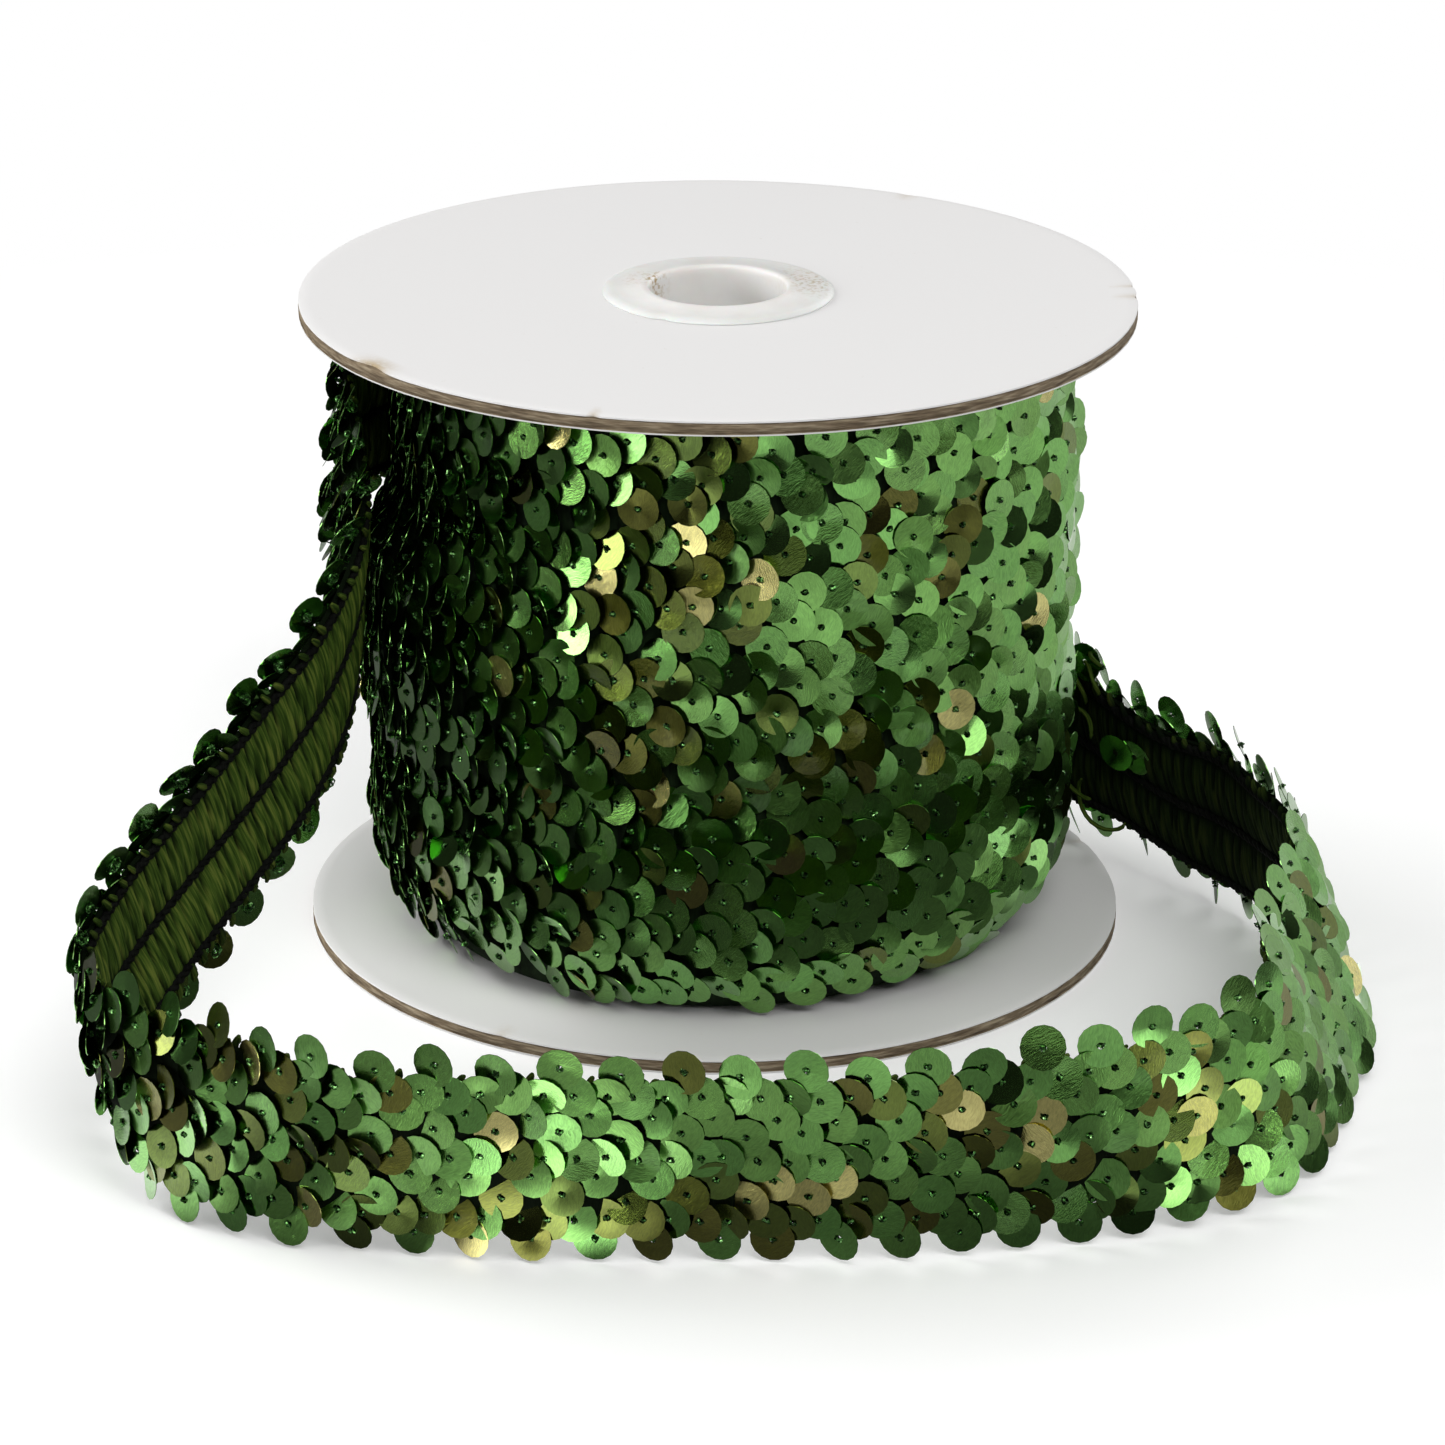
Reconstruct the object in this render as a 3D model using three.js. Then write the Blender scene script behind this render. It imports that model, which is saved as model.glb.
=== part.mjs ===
import * as THREE from 'three';

// Sequin trim wound on a spool, with its loose end standing in a loop on the surface.
// Millimetres, +Z up. The sizes are given about the axis of the spool, with the underside of the
// lower flange at z 0; the whole is moved at the end so that the origin is under the middle.

const spool = {
  flangeRadius: 60,
  board: 2.2,
  overall: 95.4,
  boreRadius: 9.8,
  coreRadius: 15,
  collarRadius: 16.6,
  collarHigh: 1.0,
  edge: 0.25,
  gap: 0.3,
};

const winding = {
  lapPitch: 38,
  lapLow: 37,
  lapFrom: -90,
  grooveDeep: 0.9,
  grooveHalf: 1.7,
  lapSwell: 0.35,
  rightSwell: 0.5,
  hollow: 4.6,
  hollowAt: 187,
  hollowHalf: 30,
  hollowFrom: 60,
  hollowTo: 72,
};

// Outline of the winding: height above the surface and radius.
const outline = [
  { z: 2.8, r: 45.2 },
  { z: 6, r: 47.6 },
  { z: 11, r: 50.2 },
  { z: 17, r: 51.7 },
  { z: 26, r: 52.2 },
  { z: 45, r: 52.1 },
  { z: 62, r: 51.6 },
  { z: 80, r: 51.6 },
  { z: 92.8, r: 51.5 },
];

const strip = {
  wide: 34,
  thick: 1.6,
  snap: 0.3,
  across: 6,
  steps: 4,
};

// Route of the loose end from the winding to its cut end: where the lower edge passes, how far the
// upper edge stands over from it sideways, and how far the middle bows outward.
const route = [
  { lowX: -50.8, lowY: 16.8, lowZ: 58.2, overX: 2.6, overY: -5.0, bow: 0 },
  { lowX: -56.0, lowY: 7.6, lowZ: 56.6, overX: 3.0, overY: -8.6, bow: 0 },
  { lowX: -55.4, lowY: -3.2, lowZ: 52.6, overX: 4.6, overY: -11.4, bow: 0 },
  { lowX: -53.2, lowY: -13.6, lowZ: 47.0, overX: 4.4, overY: -13.4, bow: 0 },
  { lowX: -51.8, lowY: -22.6, lowZ: 40.6, overX: 1.2, overY: -14.2, bow: 0 },
  { lowX: -52.4, lowY: -32.4, lowZ: 33.6, overX: -3.0, overY: -13.6, bow: 0.5 },
  { lowX: -55.6, lowY: -42.5, lowZ: 27.0, overX: -6.6, overY: -11.6, bow: 1 },
  { lowX: -61.4, lowY: -51.5, lowZ: 20.8, overX: -7.0, overY: -11.4, bow: 1.5 },
  { lowX: -67.2, lowY: -61.0, lowZ: 14.8, overX: -7.6, overY: -10.4, bow: 2 },
  { lowX: -72.4, lowY: -71.0, lowZ: 9.6, overX: -7.8, overY: -9.4, bow: 2.5 },
  { lowX: -75.8, lowY: -82.0, lowZ: 5.2, overX: -6.6, overY: -8.6, bow: 3 },
  { lowX: -75.4, lowY: -93.8, lowZ: 2.0, overX: -1.6, overY: -6.0, bow: 3 },
  { lowX: -69.6, lowY: -103.2, lowZ: 0, overX: 2.8, overY: -2.6, bow: 2 },
  { lowX: -59.4, lowY: -109.6, lowZ: 0, overX: 2.0, overY: -4.2, bow: 1 },
  { lowX: -47.4, lowY: -112.4, lowZ: 0, overX: 0, overY: -7.8, bow: 0.5 },
  { lowX: -24.0, lowY: -114.6, lowZ: 0, overX: -0.4, overY: -7.2, bow: 0.5 },
  { lowX: 0.5, lowY: -114.5, lowZ: 0, overX: -0.6, overY: -7.8, bow: 0.5 },
  { lowX: 24.6, lowY: -113.8, lowZ: 0, overX: -1.0, overY: -7.8, bow: 0.5 },
  { lowX: 48.4, lowY: -109.0, lowZ: 0, overX: -2.2, overY: -5.4, bow: 0.5 },
  { lowX: 60.2, lowY: -104.4, lowZ: 0, overX: -2.6, overY: -5.0, bow: 0.5 },
  { lowX: 71.2, lowY: -98.6, lowZ: 0, overX: -4.8, overY: -2.2, bow: 1 },
  { lowX: 79.6, lowY: -89.6, lowZ: 0, overX: -7.2, overY: -1.2, bow: 1 },
  { lowX: 84.4, lowY: -78.0, lowZ: 0, overX: -12.2, overY: -0.4, bow: 1 },
  { lowX: 88.2, lowY: -65.8, lowZ: 0, overX: -15.8, overY: 0.2, bow: 1 },
  { lowX: 91.6, lowY: -53.6, lowZ: 0, overX: -15.8, overY: -0.1, bow: 1 },
  { lowX: 92.0, lowY: -40.8, lowZ: 0, overX: -12.8, overY: -1.2, bow: 1 },
  { lowX: 89.2, lowY: -28.4, lowZ: 0, overX: -9.4, overY: -1.6, bow: 1 },
  { lowX: 84.4, lowY: -16.6, lowZ: 0, overX: -7.6, overY: -2.0, bow: 0.5 },
  { lowX: 77.6, lowY: -5.4, lowZ: 0, overX: -4.6, overY: -1.4, bow: 0 },
  { lowX: 70.6, lowY: 5.6, lowZ: 0.6, overX: -6.4, overY: -3.8, bow: 0 },
  { lowX: 62.4, lowY: 14.0, lowZ: 2.8, overX: -5.4, overY: -3.4, bow: 0 },
  { lowX: 53.8, lowY: 21.0, lowZ: 3.2, overX: -0.6, overY: 0.2, bow: 0 },
];

const colours = {
  board: 0xe2e0dc,
  plastic: 0xece8de,
  trim: 0x3f7d34,
};

const degrees = Math.PI / 180;

function lerp(a, b, t) {
  return a + (b - a) * t;
}

// Rises smoothly from 0 to 1 between two values.
function ease(value, from, to) {
  const t = Math.min(1, Math.max(0, (value - from) / (to - from)));
  return t * t * (3 - 2 * t);
}

// A cubic through rows of a table, by name: between two rows the slope follows their neighbours.
function along(rows, name, at) {
  const last = rows.length - 1;
  const i = Math.min(last - 1, Math.max(0, Math.floor(at)));
  const t = at - i;
  const p1 = rows[i][name];
  const p2 = rows[i + 1][name];
  const p0 = i > 0 ? rows[i - 1][name] : 2 * p1 - p2;
  const p3 = i + 2 <= last ? rows[i + 2][name] : 2 * p2 - p1;
  const m1 = (p2 - p0) / 2;
  const m2 = (p3 - p1) / 2;
  const t2 = t * t;
  const t3 = t2 * t;
  return (2 * t3 - 3 * t2 + 1) * p1 + (t3 - 2 * t2 + t) * m1
    + (-2 * t3 + 3 * t2) * p2 + (t3 - t2) * m2;
}

function solid(points, faces) {
  const geometry = new THREE.BufferGeometry();
  geometry.setAttribute('position', new THREE.Float32BufferAttribute(points.flat(), 3));
  geometry.setIndex(faces.flat());
  geometry.computeVertexNormals();
  return geometry;
}

// A closed profile carried once round the axis. The profile runs clockwise seen with the radius to
// the right and the height up, and place(j, angle) gives the radius and height of its point j.
function ring(count, segments, place) {
  const points = [];
  const faces = [];
  for (let i = 0; i < segments; i += 1) {
    const angle = (i / segments) * 360;
    const c = Math.cos(angle * degrees);
    const s = Math.sin(angle * degrees);
    for (let j = 0; j < count; j += 1) {
      const [r, z] = place(j, angle);
      points.push([r * c, r * s, z]);
    }
  }
  for (let i = 0; i < segments; i += 1) {
    const here = i * count;
    const next = ((i + 1) % segments) * count;
    for (let j = 0; j < count; j += 1) {
      const k = (j + 1) % count;
      faces.push([here + j, here + k, next + k]);
      faces.push([here + j, next + k, next + j]);
    }
  }
  return solid(points, faces);
}

function turned(profile, segments) {
  return ring(profile.length, segments, (j) => profile[j]);
}

// A flange: a board disc with slightly worn corners and a hole for the core.
function flange(low, holes) {
  const top = low + spool.board;
  const e = spool.edge;
  const profile = [];
  for (const [r, z] of holes) {
    profile.push([r, low + z]);
  }
  profile.push([spool.flangeRadius - e, top]);
  profile.push([spool.flangeRadius, top - e]);
  profile.push([spool.flangeRadius, low + e]);
  profile.push([spool.flangeRadius - e, low]);
  return turned(profile, 96);
}

// The core: a tube whose foot is let into the lower flange and whose collar stands on the upper one.
function core() {
  const foot = spool.board + spool.gap;
  const collar = spool.overall + spool.gap;
  const top = spool.overall + spool.collarHigh;
  const profile = [
    [spool.boreRadius, 0.4],
    [spool.boreRadius, top - 0.4],
    [spool.boreRadius + 0.4, top],
    [spool.collarRadius - 0.4, top],
    [spool.collarRadius, top - 0.3],
    [spool.collarRadius, collar],
    [spool.coreRadius, collar],
    [spool.coreRadius, foot],
    [spool.collarRadius, foot],
    [spool.collarRadius, 0],
    [spool.boreRadius + 0.4, 0],
  ];
  return turned(profile, 64);
}

function outlineRadius(z) {
  for (let i = 1; i < outline.length; i += 1) {
    const a = outline[i - 1];
    const b = outline[i];
    if (z <= b.z) {
      return lerp(a.r, b.r, (z - a.z) / (b.z - a.z));
    }
  }
  return outline[outline.length - 1].r;
}

// Radius of the winding: its outline, fuller on the right, hollow at the upper left where the loose
// end has come off, with a groove along each boundary of the slanting laps and a swell between them.
function windingRadius(angle, z) {
  const w = winding;
  const turn = ((angle - w.lapFrom + 720) % 360) / 360;
  const boundary = w.lapLow + w.lapPitch * turn;
  const into = (((z - boundary) % w.lapPitch) + w.lapPitch) % w.lapPitch;
  const off = Math.min(into, w.lapPitch - into);
  const groove = w.grooveDeep * Math.exp(-((off / w.grooveHalf) ** 2));
  const swell = w.lapSwell * Math.sin((Math.PI * into) / w.lapPitch);
  const from = ((angle - w.hollowAt + 540) % 360) - 180;
  const side = Math.exp(-((from / w.hollowHalf) ** 2));
  const hollow = w.hollow * side * ease(z, w.hollowFrom, w.hollowTo);
  return outlineRadius(z) + w.rightSwell * Math.cos(angle * degrees) + swell - groove - hollow;
}

function roll() {
  const low = spool.board + spool.gap + spool.gap;
  const high = spool.overall - spool.board - spool.gap;
  const inner = spool.coreRadius + spool.gap;
  const levels = 24;
  return ring(levels + 3, 80, (j, angle) => {
    if (j === 0) {
      return [inner, low];
    }
    if (j === 1) {
      return [inner, high];
    }
    const z = lerp(high, low, (j - 2) / levels);
    return [windingRadius(angle, z), z];
  });
}

// One section of the strip: its back face from the lower edge to the upper edge, then its sequined
// face down again. Edges that reach the surface are cut flat by it.
function stripSection(at) {
  const value = (name) => along(route, name, at);
  const nudge = 0.02;
  const low = new THREE.Vector3(value('lowX'), value('lowY'), value('lowZ'));
  if (low.z < strip.snap) {
    low.z = 0;
  }
  const over = new THREE.Vector2(value('overX'), value('overY'));
  const bow = value('bow');
  const chord = strip.wide - (8 / 3) * (bow * bow) / strip.wide;
  const rise = Math.sqrt(chord * chord - over.lengthSq());
  const up = new THREE.Vector3(over.x, over.y, rise).normalize();
  const ahead = new THREE.Vector3(
    along(route, 'lowX', at + nudge) - along(route, 'lowX', at - nudge),
    along(route, 'lowY', at + nudge) - along(route, 'lowY', at - nudge),
    along(route, 'lowZ', at + nudge) - along(route, 'lowZ', at - nudge),
  ).normalize();
  const outward = new THREE.Vector3().crossVectors(ahead, up).normalize();
  const loop = [];
  for (const side of [-1, 1]) {
    for (let i = 0; i <= strip.across; i += 1) {
      const share = side < 0 ? i / strip.across : 1 - i / strip.across;
      const bulge = bow * (1 - (2 * share - 1) ** 2);
      const point = low.clone().addScaledVector(up, chord * share);
      point.addScaledVector(outward, bulge + (side * strip.thick) / 2);
      if ((low.z === 0 && share === 0) || point.z < 0) {
        point.z = 0;
      }
      loop.push([point.x, point.y, point.z]);
    }
  }
  return loop;
}

function tail() {
  const count = (route.length - 1) * strip.steps;
  const points = [];
  const faces = [];
  const size = 2 * (strip.across + 1);
  for (let i = 0; i <= count; i += 1) {
    points.push(...stripSection(i / strip.steps));
  }
  for (let i = 0; i < count; i += 1) {
    const here = i * size;
    const next = here + size;
    for (let j = 0; j < size; j += 1) {
      const k = (j + 1) % size;
      faces.push([here + j, next + k, next + j]);
      faces.push([here + j, here + k, next + k]);
    }
  }
  for (const [start, turned] of [[0, false], [count * size, true]]) {
    for (let j = 0; j < strip.across; j += 1) {
      const a = start + j;
      const b = start + j + 1;
      const c = start + size - 2 - j;
      const d = start + size - 1 - j;
      faces.push(turned ? [a, b, c] : [a, c, b]);
      faces.push(turned ? [a, c, d] : [a, d, c]);
    }
  }
  return solid(points, faces);
}

function piece(name, geometry, colour) {
  const material = new THREE.MeshStandardMaterial({ color: colour, roughness: 0.6 });
  const mesh = new THREE.Mesh(geometry, material);
  mesh.name = name;
  return mesh;
}

const holeLow = spool.collarRadius + spool.gap;
const holeHigh = spool.coreRadius + spool.gap;
const lowerHole = [[holeLow, 0], [holeLow, spool.board]];
const upperHole = [[holeHigh, 0], [holeHigh, spool.board]];

const group = new THREE.Group();
group.name = 'sequin_trim_spool';
group.add(piece('flange_bottom', flange(0, lowerHole), colours.board));
group.add(piece('flange_top', flange(spool.overall - spool.board, upperHole), colours.board));
group.add(piece('core', core(), colours.plastic));
group.add(piece('roll', roll(), colours.trim));
group.add(piece('tail', tail(), colours.trim));

// The origin goes under the middle of the whole.
const box = new THREE.Box3().setFromObject(group);
const middle = box.getCenter(new THREE.Vector3());
for (const mesh of group.children) {
  mesh.geometry.translate(-middle.x, -middle.y, -box.min.z);
}

export default group;
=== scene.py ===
# Green sequin trim wound on a board spool, with its loose end standing in a loop round the front.
# The pieces' dictionaries hold millimetres and degrees about the axis of the spool, with the surface
# at z 0. newPiece moves a piece to the spool's place in the frame and turns it into metres.

import math

import bpy
import numpy as np
from mathutils import Matrix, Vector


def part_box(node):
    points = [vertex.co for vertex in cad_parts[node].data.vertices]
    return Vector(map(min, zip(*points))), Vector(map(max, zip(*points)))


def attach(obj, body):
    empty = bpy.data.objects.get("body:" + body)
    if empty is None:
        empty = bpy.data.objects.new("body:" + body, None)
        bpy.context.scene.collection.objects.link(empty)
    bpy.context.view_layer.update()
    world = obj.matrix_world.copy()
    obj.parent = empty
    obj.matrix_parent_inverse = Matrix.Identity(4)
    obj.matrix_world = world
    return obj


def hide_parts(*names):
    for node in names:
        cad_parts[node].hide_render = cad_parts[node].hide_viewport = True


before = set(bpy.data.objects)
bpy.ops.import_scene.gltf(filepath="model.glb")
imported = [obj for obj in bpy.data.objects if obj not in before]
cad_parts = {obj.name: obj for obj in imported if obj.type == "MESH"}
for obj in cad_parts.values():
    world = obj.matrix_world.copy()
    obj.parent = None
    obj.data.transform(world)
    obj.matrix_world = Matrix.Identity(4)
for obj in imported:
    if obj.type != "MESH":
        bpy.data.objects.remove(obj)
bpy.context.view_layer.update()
print("stage: frame loaded")

mm = 0.001
turnDegrees = 360.0

coreLow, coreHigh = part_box("core")
boardLow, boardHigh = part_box("flange_top")
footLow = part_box("flange_bottom")[0]
axisAt = np.array([(coreLow.x + coreHigh.x) / 2, (coreLow.y + coreHigh.y) / 2, 0.0]) / mm

spool = {
    "radius": (boardHigh.x - boardLow.x) / 2 / mm,
    "board": (boardHigh.z - boardLow.z) / mm,
    "overall": boardHigh.z / mm,
    "collarTop": coreHigh.z / mm,
    "collarRadius": (coreHigh.x - coreLow.x) / 2 / mm,
    "coreRadius": 15.0,
    "boreRadius": 9.8,
    "gap": 0.3,
}


# Small helpers for shapes

# Rises smoothly from 0 to 1 while the value goes from one limit to the other.
def ease(value, fromValue, toValue):
    t = np.clip((value - fromValue) / (toValue - fromValue), 0, 1)
    return t * t * (3 - 2 * t)


# Shortest way from one angle to another in degrees, between -180 and 180.
def angleFrom(angle, middle):
    return (angle - middle + 540) % turnDegrees - 180


# A soft bump of height 1 about a middle, with the given half width.
def bell(offset, halfWidth):
    return np.exp(-((offset / halfWidth) ** 2))


# A smooth random curve over a closed turn: the sum of a few sine waves with random phases.
def wander(angle, rng, waves):
    total = np.zeros_like(angle, dtype=float)
    for wave in waves:
        phase = rng.uniform(0, 2 * math.pi)
        total += np.sin(np.radians(angle) * wave + phase) * rng.uniform(0.5, 1)
    return total / len(waves)


def unit(vectors):
    return vectors / np.maximum(np.linalg.norm(vectors, axis=-1, keepdims=True), 1e-9)


# Quads between neighbouring points of a grid, joined round on either side where it is closed.
def gridFaces(rows, columns, closedRows=False, closedColumns=False):
    r = np.arange(rows if closedRows else rows - 1)
    c = np.arange(columns if closedColumns else columns - 1)
    r, c = np.meshgrid(r, c, indexing="ij")
    nextR = (r + 1) % rows
    nextC = (c + 1) % columns
    corners = [r * columns + c, r * columns + nextC, nextR * columns + nextC, nextR * columns + c]
    return np.stack(corners, axis=-1).reshape(-1, 4)


# Makes a mesh object from points in millimetres about the spool, and puts it in metres in the frame.
def newPiece(name, points, faces, materials, faceMaterial=None, uv=None, marks=None, sharpAngle=35):
    mesh = bpy.data.meshes.new(name)
    placed = (points.reshape(-1, 3) + axisAt) * mm
    mesh.from_pydata(placed, [], faces)
    mesh.shade_smooth()
    mesh.set_sharp_from_angle(angle=math.radians(sharpAngle))
    for material in materials:
        mesh.materials.append(material)
    if faceMaterial is not None:
        mesh.polygons.foreach_set("material_index", faceMaterial.astype(np.int32))
    if uv is not None:
        corners = np.empty(len(mesh.loops), np.int32)
        mesh.loops.foreach_get("vertex_index", corners)
        layer = mesh.uv_layers.new(name="cloth")
        layer.data.foreach_set("uv", uv.reshape(-1, 2)[corners].astype(np.float32).ravel())
    for markName, values in (marks or {}).items():
        mark = mesh.attributes.new(name=markName, type="FLOAT", domain="POINT")
        mark.data.foreach_set("value", values.astype(np.float32).ravel())
    mesh.update()
    piece = bpy.data.objects.new(name, mesh)
    bpy.context.scene.collection.objects.link(piece)
    return piece


# Carries a closed profile once round the axis. Radius and height are arrays of profile point by
# angle, and the profile runs clockwise with the radius to the right and the height up.
def turnedPoints(radius, height, angle):
    a = np.radians(angle)[None, :]
    return np.stack([radius * np.cos(a), radius * np.sin(a), height + 0 * a], axis=-1)


def turnedFaces(profileCount, angleCount):
    faces = gridFaces(profileCount, angleCount, closedRows=True, closedColumns=True)
    return faces[:, [0, 3, 2, 1]]


# Round strands along paths of points. Each section is a small polygon set across the path, and both
# ends are closed. Paths are strand by point by xyz, the radius is strand by point.
def strandMesh(paths, radius, reference, sides=4):
    tangent = unit(np.gradient(paths, axis=1))
    side = unit(np.cross(tangent, reference))
    over = np.cross(side, tangent)
    count, length = paths.shape[:2]
    turns = np.arange(sides) / sides * 2 * math.pi
    ring = np.cos(turns)[:, None] * side[:, :, None, :] + np.sin(turns)[:, None] * over[:, :, None, :]
    points = paths[:, :, None, :] + ring * radius[:, :, None, None]
    faces = gridFaces(length, sides, closedColumns=True)
    ends = []
    for pair in range(sides // 2 - 1):
        first = [0, pair * 2 + 1, pair * 2 + 2, pair * 2 + 3]
        ends.append(first[::-1])
        ends.append([corner + (length - 1) * sides for corner in first])
    oneStrand = np.vstack([faces, np.array(ends)])
    shift = np.arange(count)[:, None, None] * length * sides
    return points.reshape(-1, 3), (oneStrand[None] + shift).reshape(-1, 4)


# Small helpers for materials

def newMaterial(name):
    material = bpy.data.materials.new(name)
    material.use_nodes = True
    return material, material.node_tree, material.node_tree.nodes["Principled BSDF"]


# Sets a node's inputs: another node's output is linked, and anything else is a plain value.
def setInputs(node, inputs):
    for key, value in inputs.items():
        if isinstance(value, bpy.types.NodeSocket):
            node.id_data.links.new(value, node.inputs[key])
        else:
            node.inputs[key].default_value = value


def addNode(tree, kind, inputs=None, **settings):
    node = tree.nodes.new(kind)
    for key, value in settings.items():
        setattr(node, key, value)
    setInputs(node, inputs or {})
    return node


def objectPlace(tree):
    return addNode(tree, "ShaderNodeTexCoord").outputs["Object"]


def clothPlace(tree):
    return addNode(tree, "ShaderNodeUVMap", uv_map="cloth").outputs["UV"]


def markAt(tree, name):
    return addNode(tree, "ShaderNodeAttribute", attribute_name=name).outputs["Fac"]


def noiseAt(tree, place, scale, detail, roughness=0.5):
    inputs = {"Vector": place, "Scale": scale, "Detail": detail, "Roughness": roughness}
    return addNode(tree, "ShaderNodeTexNoise", inputs).outputs["Fac"]


def calculate(tree, operation, first, second):
    return addNode(tree, "ShaderNodeMath", {0: first, 1: second}, operation=operation).outputs[0]


def mapRange(tree, value, fromLow, fromHigh, toLow, toHigh):
    inputs = {0: value, 1: fromLow, 2: fromHigh, 3: toLow, 4: toHigh}
    return addNode(tree, "ShaderNodeMapRange", inputs).outputs[0]


# Colours along a value. Each stop is a value between 0 and 1 and its colour.
def colourRamp(tree, value, stops):
    ramp = addNode(tree, "ShaderNodeValToRGB", {"Fac": value})
    elements = ramp.color_ramp.elements
    while len(elements) < len(stops):
        elements.new(0.5)
    for element, (position, colour) in zip(elements, stops):
        element.position = position
        element.color = (*colour, 1)
    return ramp.outputs["Color"]


# The first colour where the factor is 0, the second where it is 1.
def mixColours(tree, factor, *colours):
    first, second = (c if isinstance(c, bpy.types.NodeSocket) else (*c, 1) for c in colours)
    mix = addNode(tree, "ShaderNodeMix", {"Factor": factor, 6: first, 7: second}, data_type="RGBA")
    return mix.outputs[2]


def mixValues(tree, factor, first, second):
    mix = addNode(tree, "ShaderNodeMix", {"Factor": factor, 2: first, 3: second}, data_type="FLOAT")
    return mix.outputs[0]


def addBump(tree, height, shader, strength, distance):
    inputs = {"Height": height, "Strength": strength, "Distance": distance}
    setInputs(shader, {"Normal": addNode(tree, "ShaderNodeBump", inputs).outputs["Normal"]})


# Shared effect: fine broken lines. The pattern is noise stretched along one direction, and a coarser
# noise bends it. Higher Across gives thinner lines.
def buildStreaks():
    group = bpy.data.node_groups.new("fine streaks", "ShaderNodeTree")
    face = group.interface
    face.new_socket("Vector", in_out="INPUT", socket_type="NodeSocketVector")
    for label in ("Across", "Along", "Wave"):
        face.new_socket(label, in_out="INPUT", socket_type="NodeSocketFloat")
    for label in ("Streak", "Cloud"):
        face.new_socket(label, in_out="OUTPUT", socket_type="NodeSocketFloat")
    entry = group.nodes.new("NodeGroupInput").outputs
    bend = addNode(group, "ShaderNodeTexNoise", {"Vector": entry["Vector"], "Scale": 2.5, "Detail": 1.0})
    bent = {0: bend.outputs["Color"], "Scale": entry["Wave"]}
    bent = addNode(group, "ShaderNodeVectorMath", bent, operation="SCALE")
    moved = {0: entry["Vector"], 1: bent.outputs["Vector"]}
    moved = addNode(group, "ShaderNodeVectorMath", moved, operation="ADD")
    stretch = {"X": entry["Across"], "Y": entry["Along"], "Z": entry["Along"]}
    stretch = addNode(group, "ShaderNodeCombineXYZ", stretch)
    scaled = {0: moved.outputs["Vector"], 1: stretch.outputs["Vector"]}
    scaled = addNode(group, "ShaderNodeVectorMath", scaled, operation="MULTIPLY")
    lines = noiseAt(group, scaled.outputs["Vector"], 1.0, 2.0, 0.6)
    addNode(group, "NodeGroupOutput", {"Streak": lines, "Cloud": bend.outputs["Fac"]})
    return group


streaks = buildStreaks()


def addStreaks(tree, place, across, along, wave):
    inputs = {"Vector": place, "Across": across, "Along": along, "Wave": wave}
    return addNode(tree, "ShaderNodeGroup", inputs, node_tree=streaks)


# Material of the sequins: dyed metal film, green, olive or gold by the film mark, part with a satin brushed
# face.
sequinFinish = {
    "film": [(0.0, (0.175, 0.415, 0.098)), (0.5, (0.122, 0.130, 0.016)), (1.0, (0.92, 0.84, 0.32))],
    "grain": (34.0, 7.0, 0.2),
    "grainShade": (0.80, 1.10),
    "bump": (0.6, 0.00009),
    "smoothRough": 0.12,
    "satinRough": 0.30,
    "coat": 0.45,
    "coatRough": 0.12,
}


def sequinMaterial():
    material, tree, shader = newMaterial("green sequin film")
    satin = markAt(tree, "satin")
    grain = addStreaks(tree, clothPlace(tree), *sequinFinish["grain"]).outputs["Streak"]
    dyed = colourRamp(tree, markAt(tree, "film"), sequinFinish["film"])
    shade = mapRange(tree, grain, 0.34, 0.66, *sequinFinish["grainShade"])
    toned = addNode(tree, "ShaderNodeVectorMath", {0: dyed, "Scale": shade}, operation="SCALE")
    rough = mapRange(tree, satin, 0, 1, sequinFinish["smoothRough"], sequinFinish["satinRough"])
    addBump(tree, calculate(tree, "MULTIPLY", grain, satin), shader, *sequinFinish["bump"])
    setInputs(shader, {
        "Base Color": toned.outputs["Vector"],
        "Roughness": rough,
        "Metallic": 1.0,
        "Coat Weight": sequinFinish["coat"],
        "Coat Roughness": sequinFinish["coatRough"],
    })
    return material


# Colours of the knot thread along a fine noise: mostly near black, a painted shade, with small bright green
# patches that are painted glints.
knotShadeAndGlints = [(0.44, (0.008, 0.026, 0.005)), (0.58, (0.07, 0.22, 0.045)), (0.7, (0.42, 0.80, 0.30))]


def knotMaterial():
    material, tree, shader = newMaterial("shiny green thread")
    noise = noiseAt(tree, objectPlace(tree), 1800.0, 2.0)
    addBump(tree, noise, shader, 0.6, 0.0002)
    # Painted shade and painted glints in the thread's colour.
    tone = colourRamp(tree, noise, knotShadeAndGlints)
    setInputs(shader, {"Base Color": tone, "Metallic": 0.8, "Roughness": 0.3})
    return material


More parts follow.
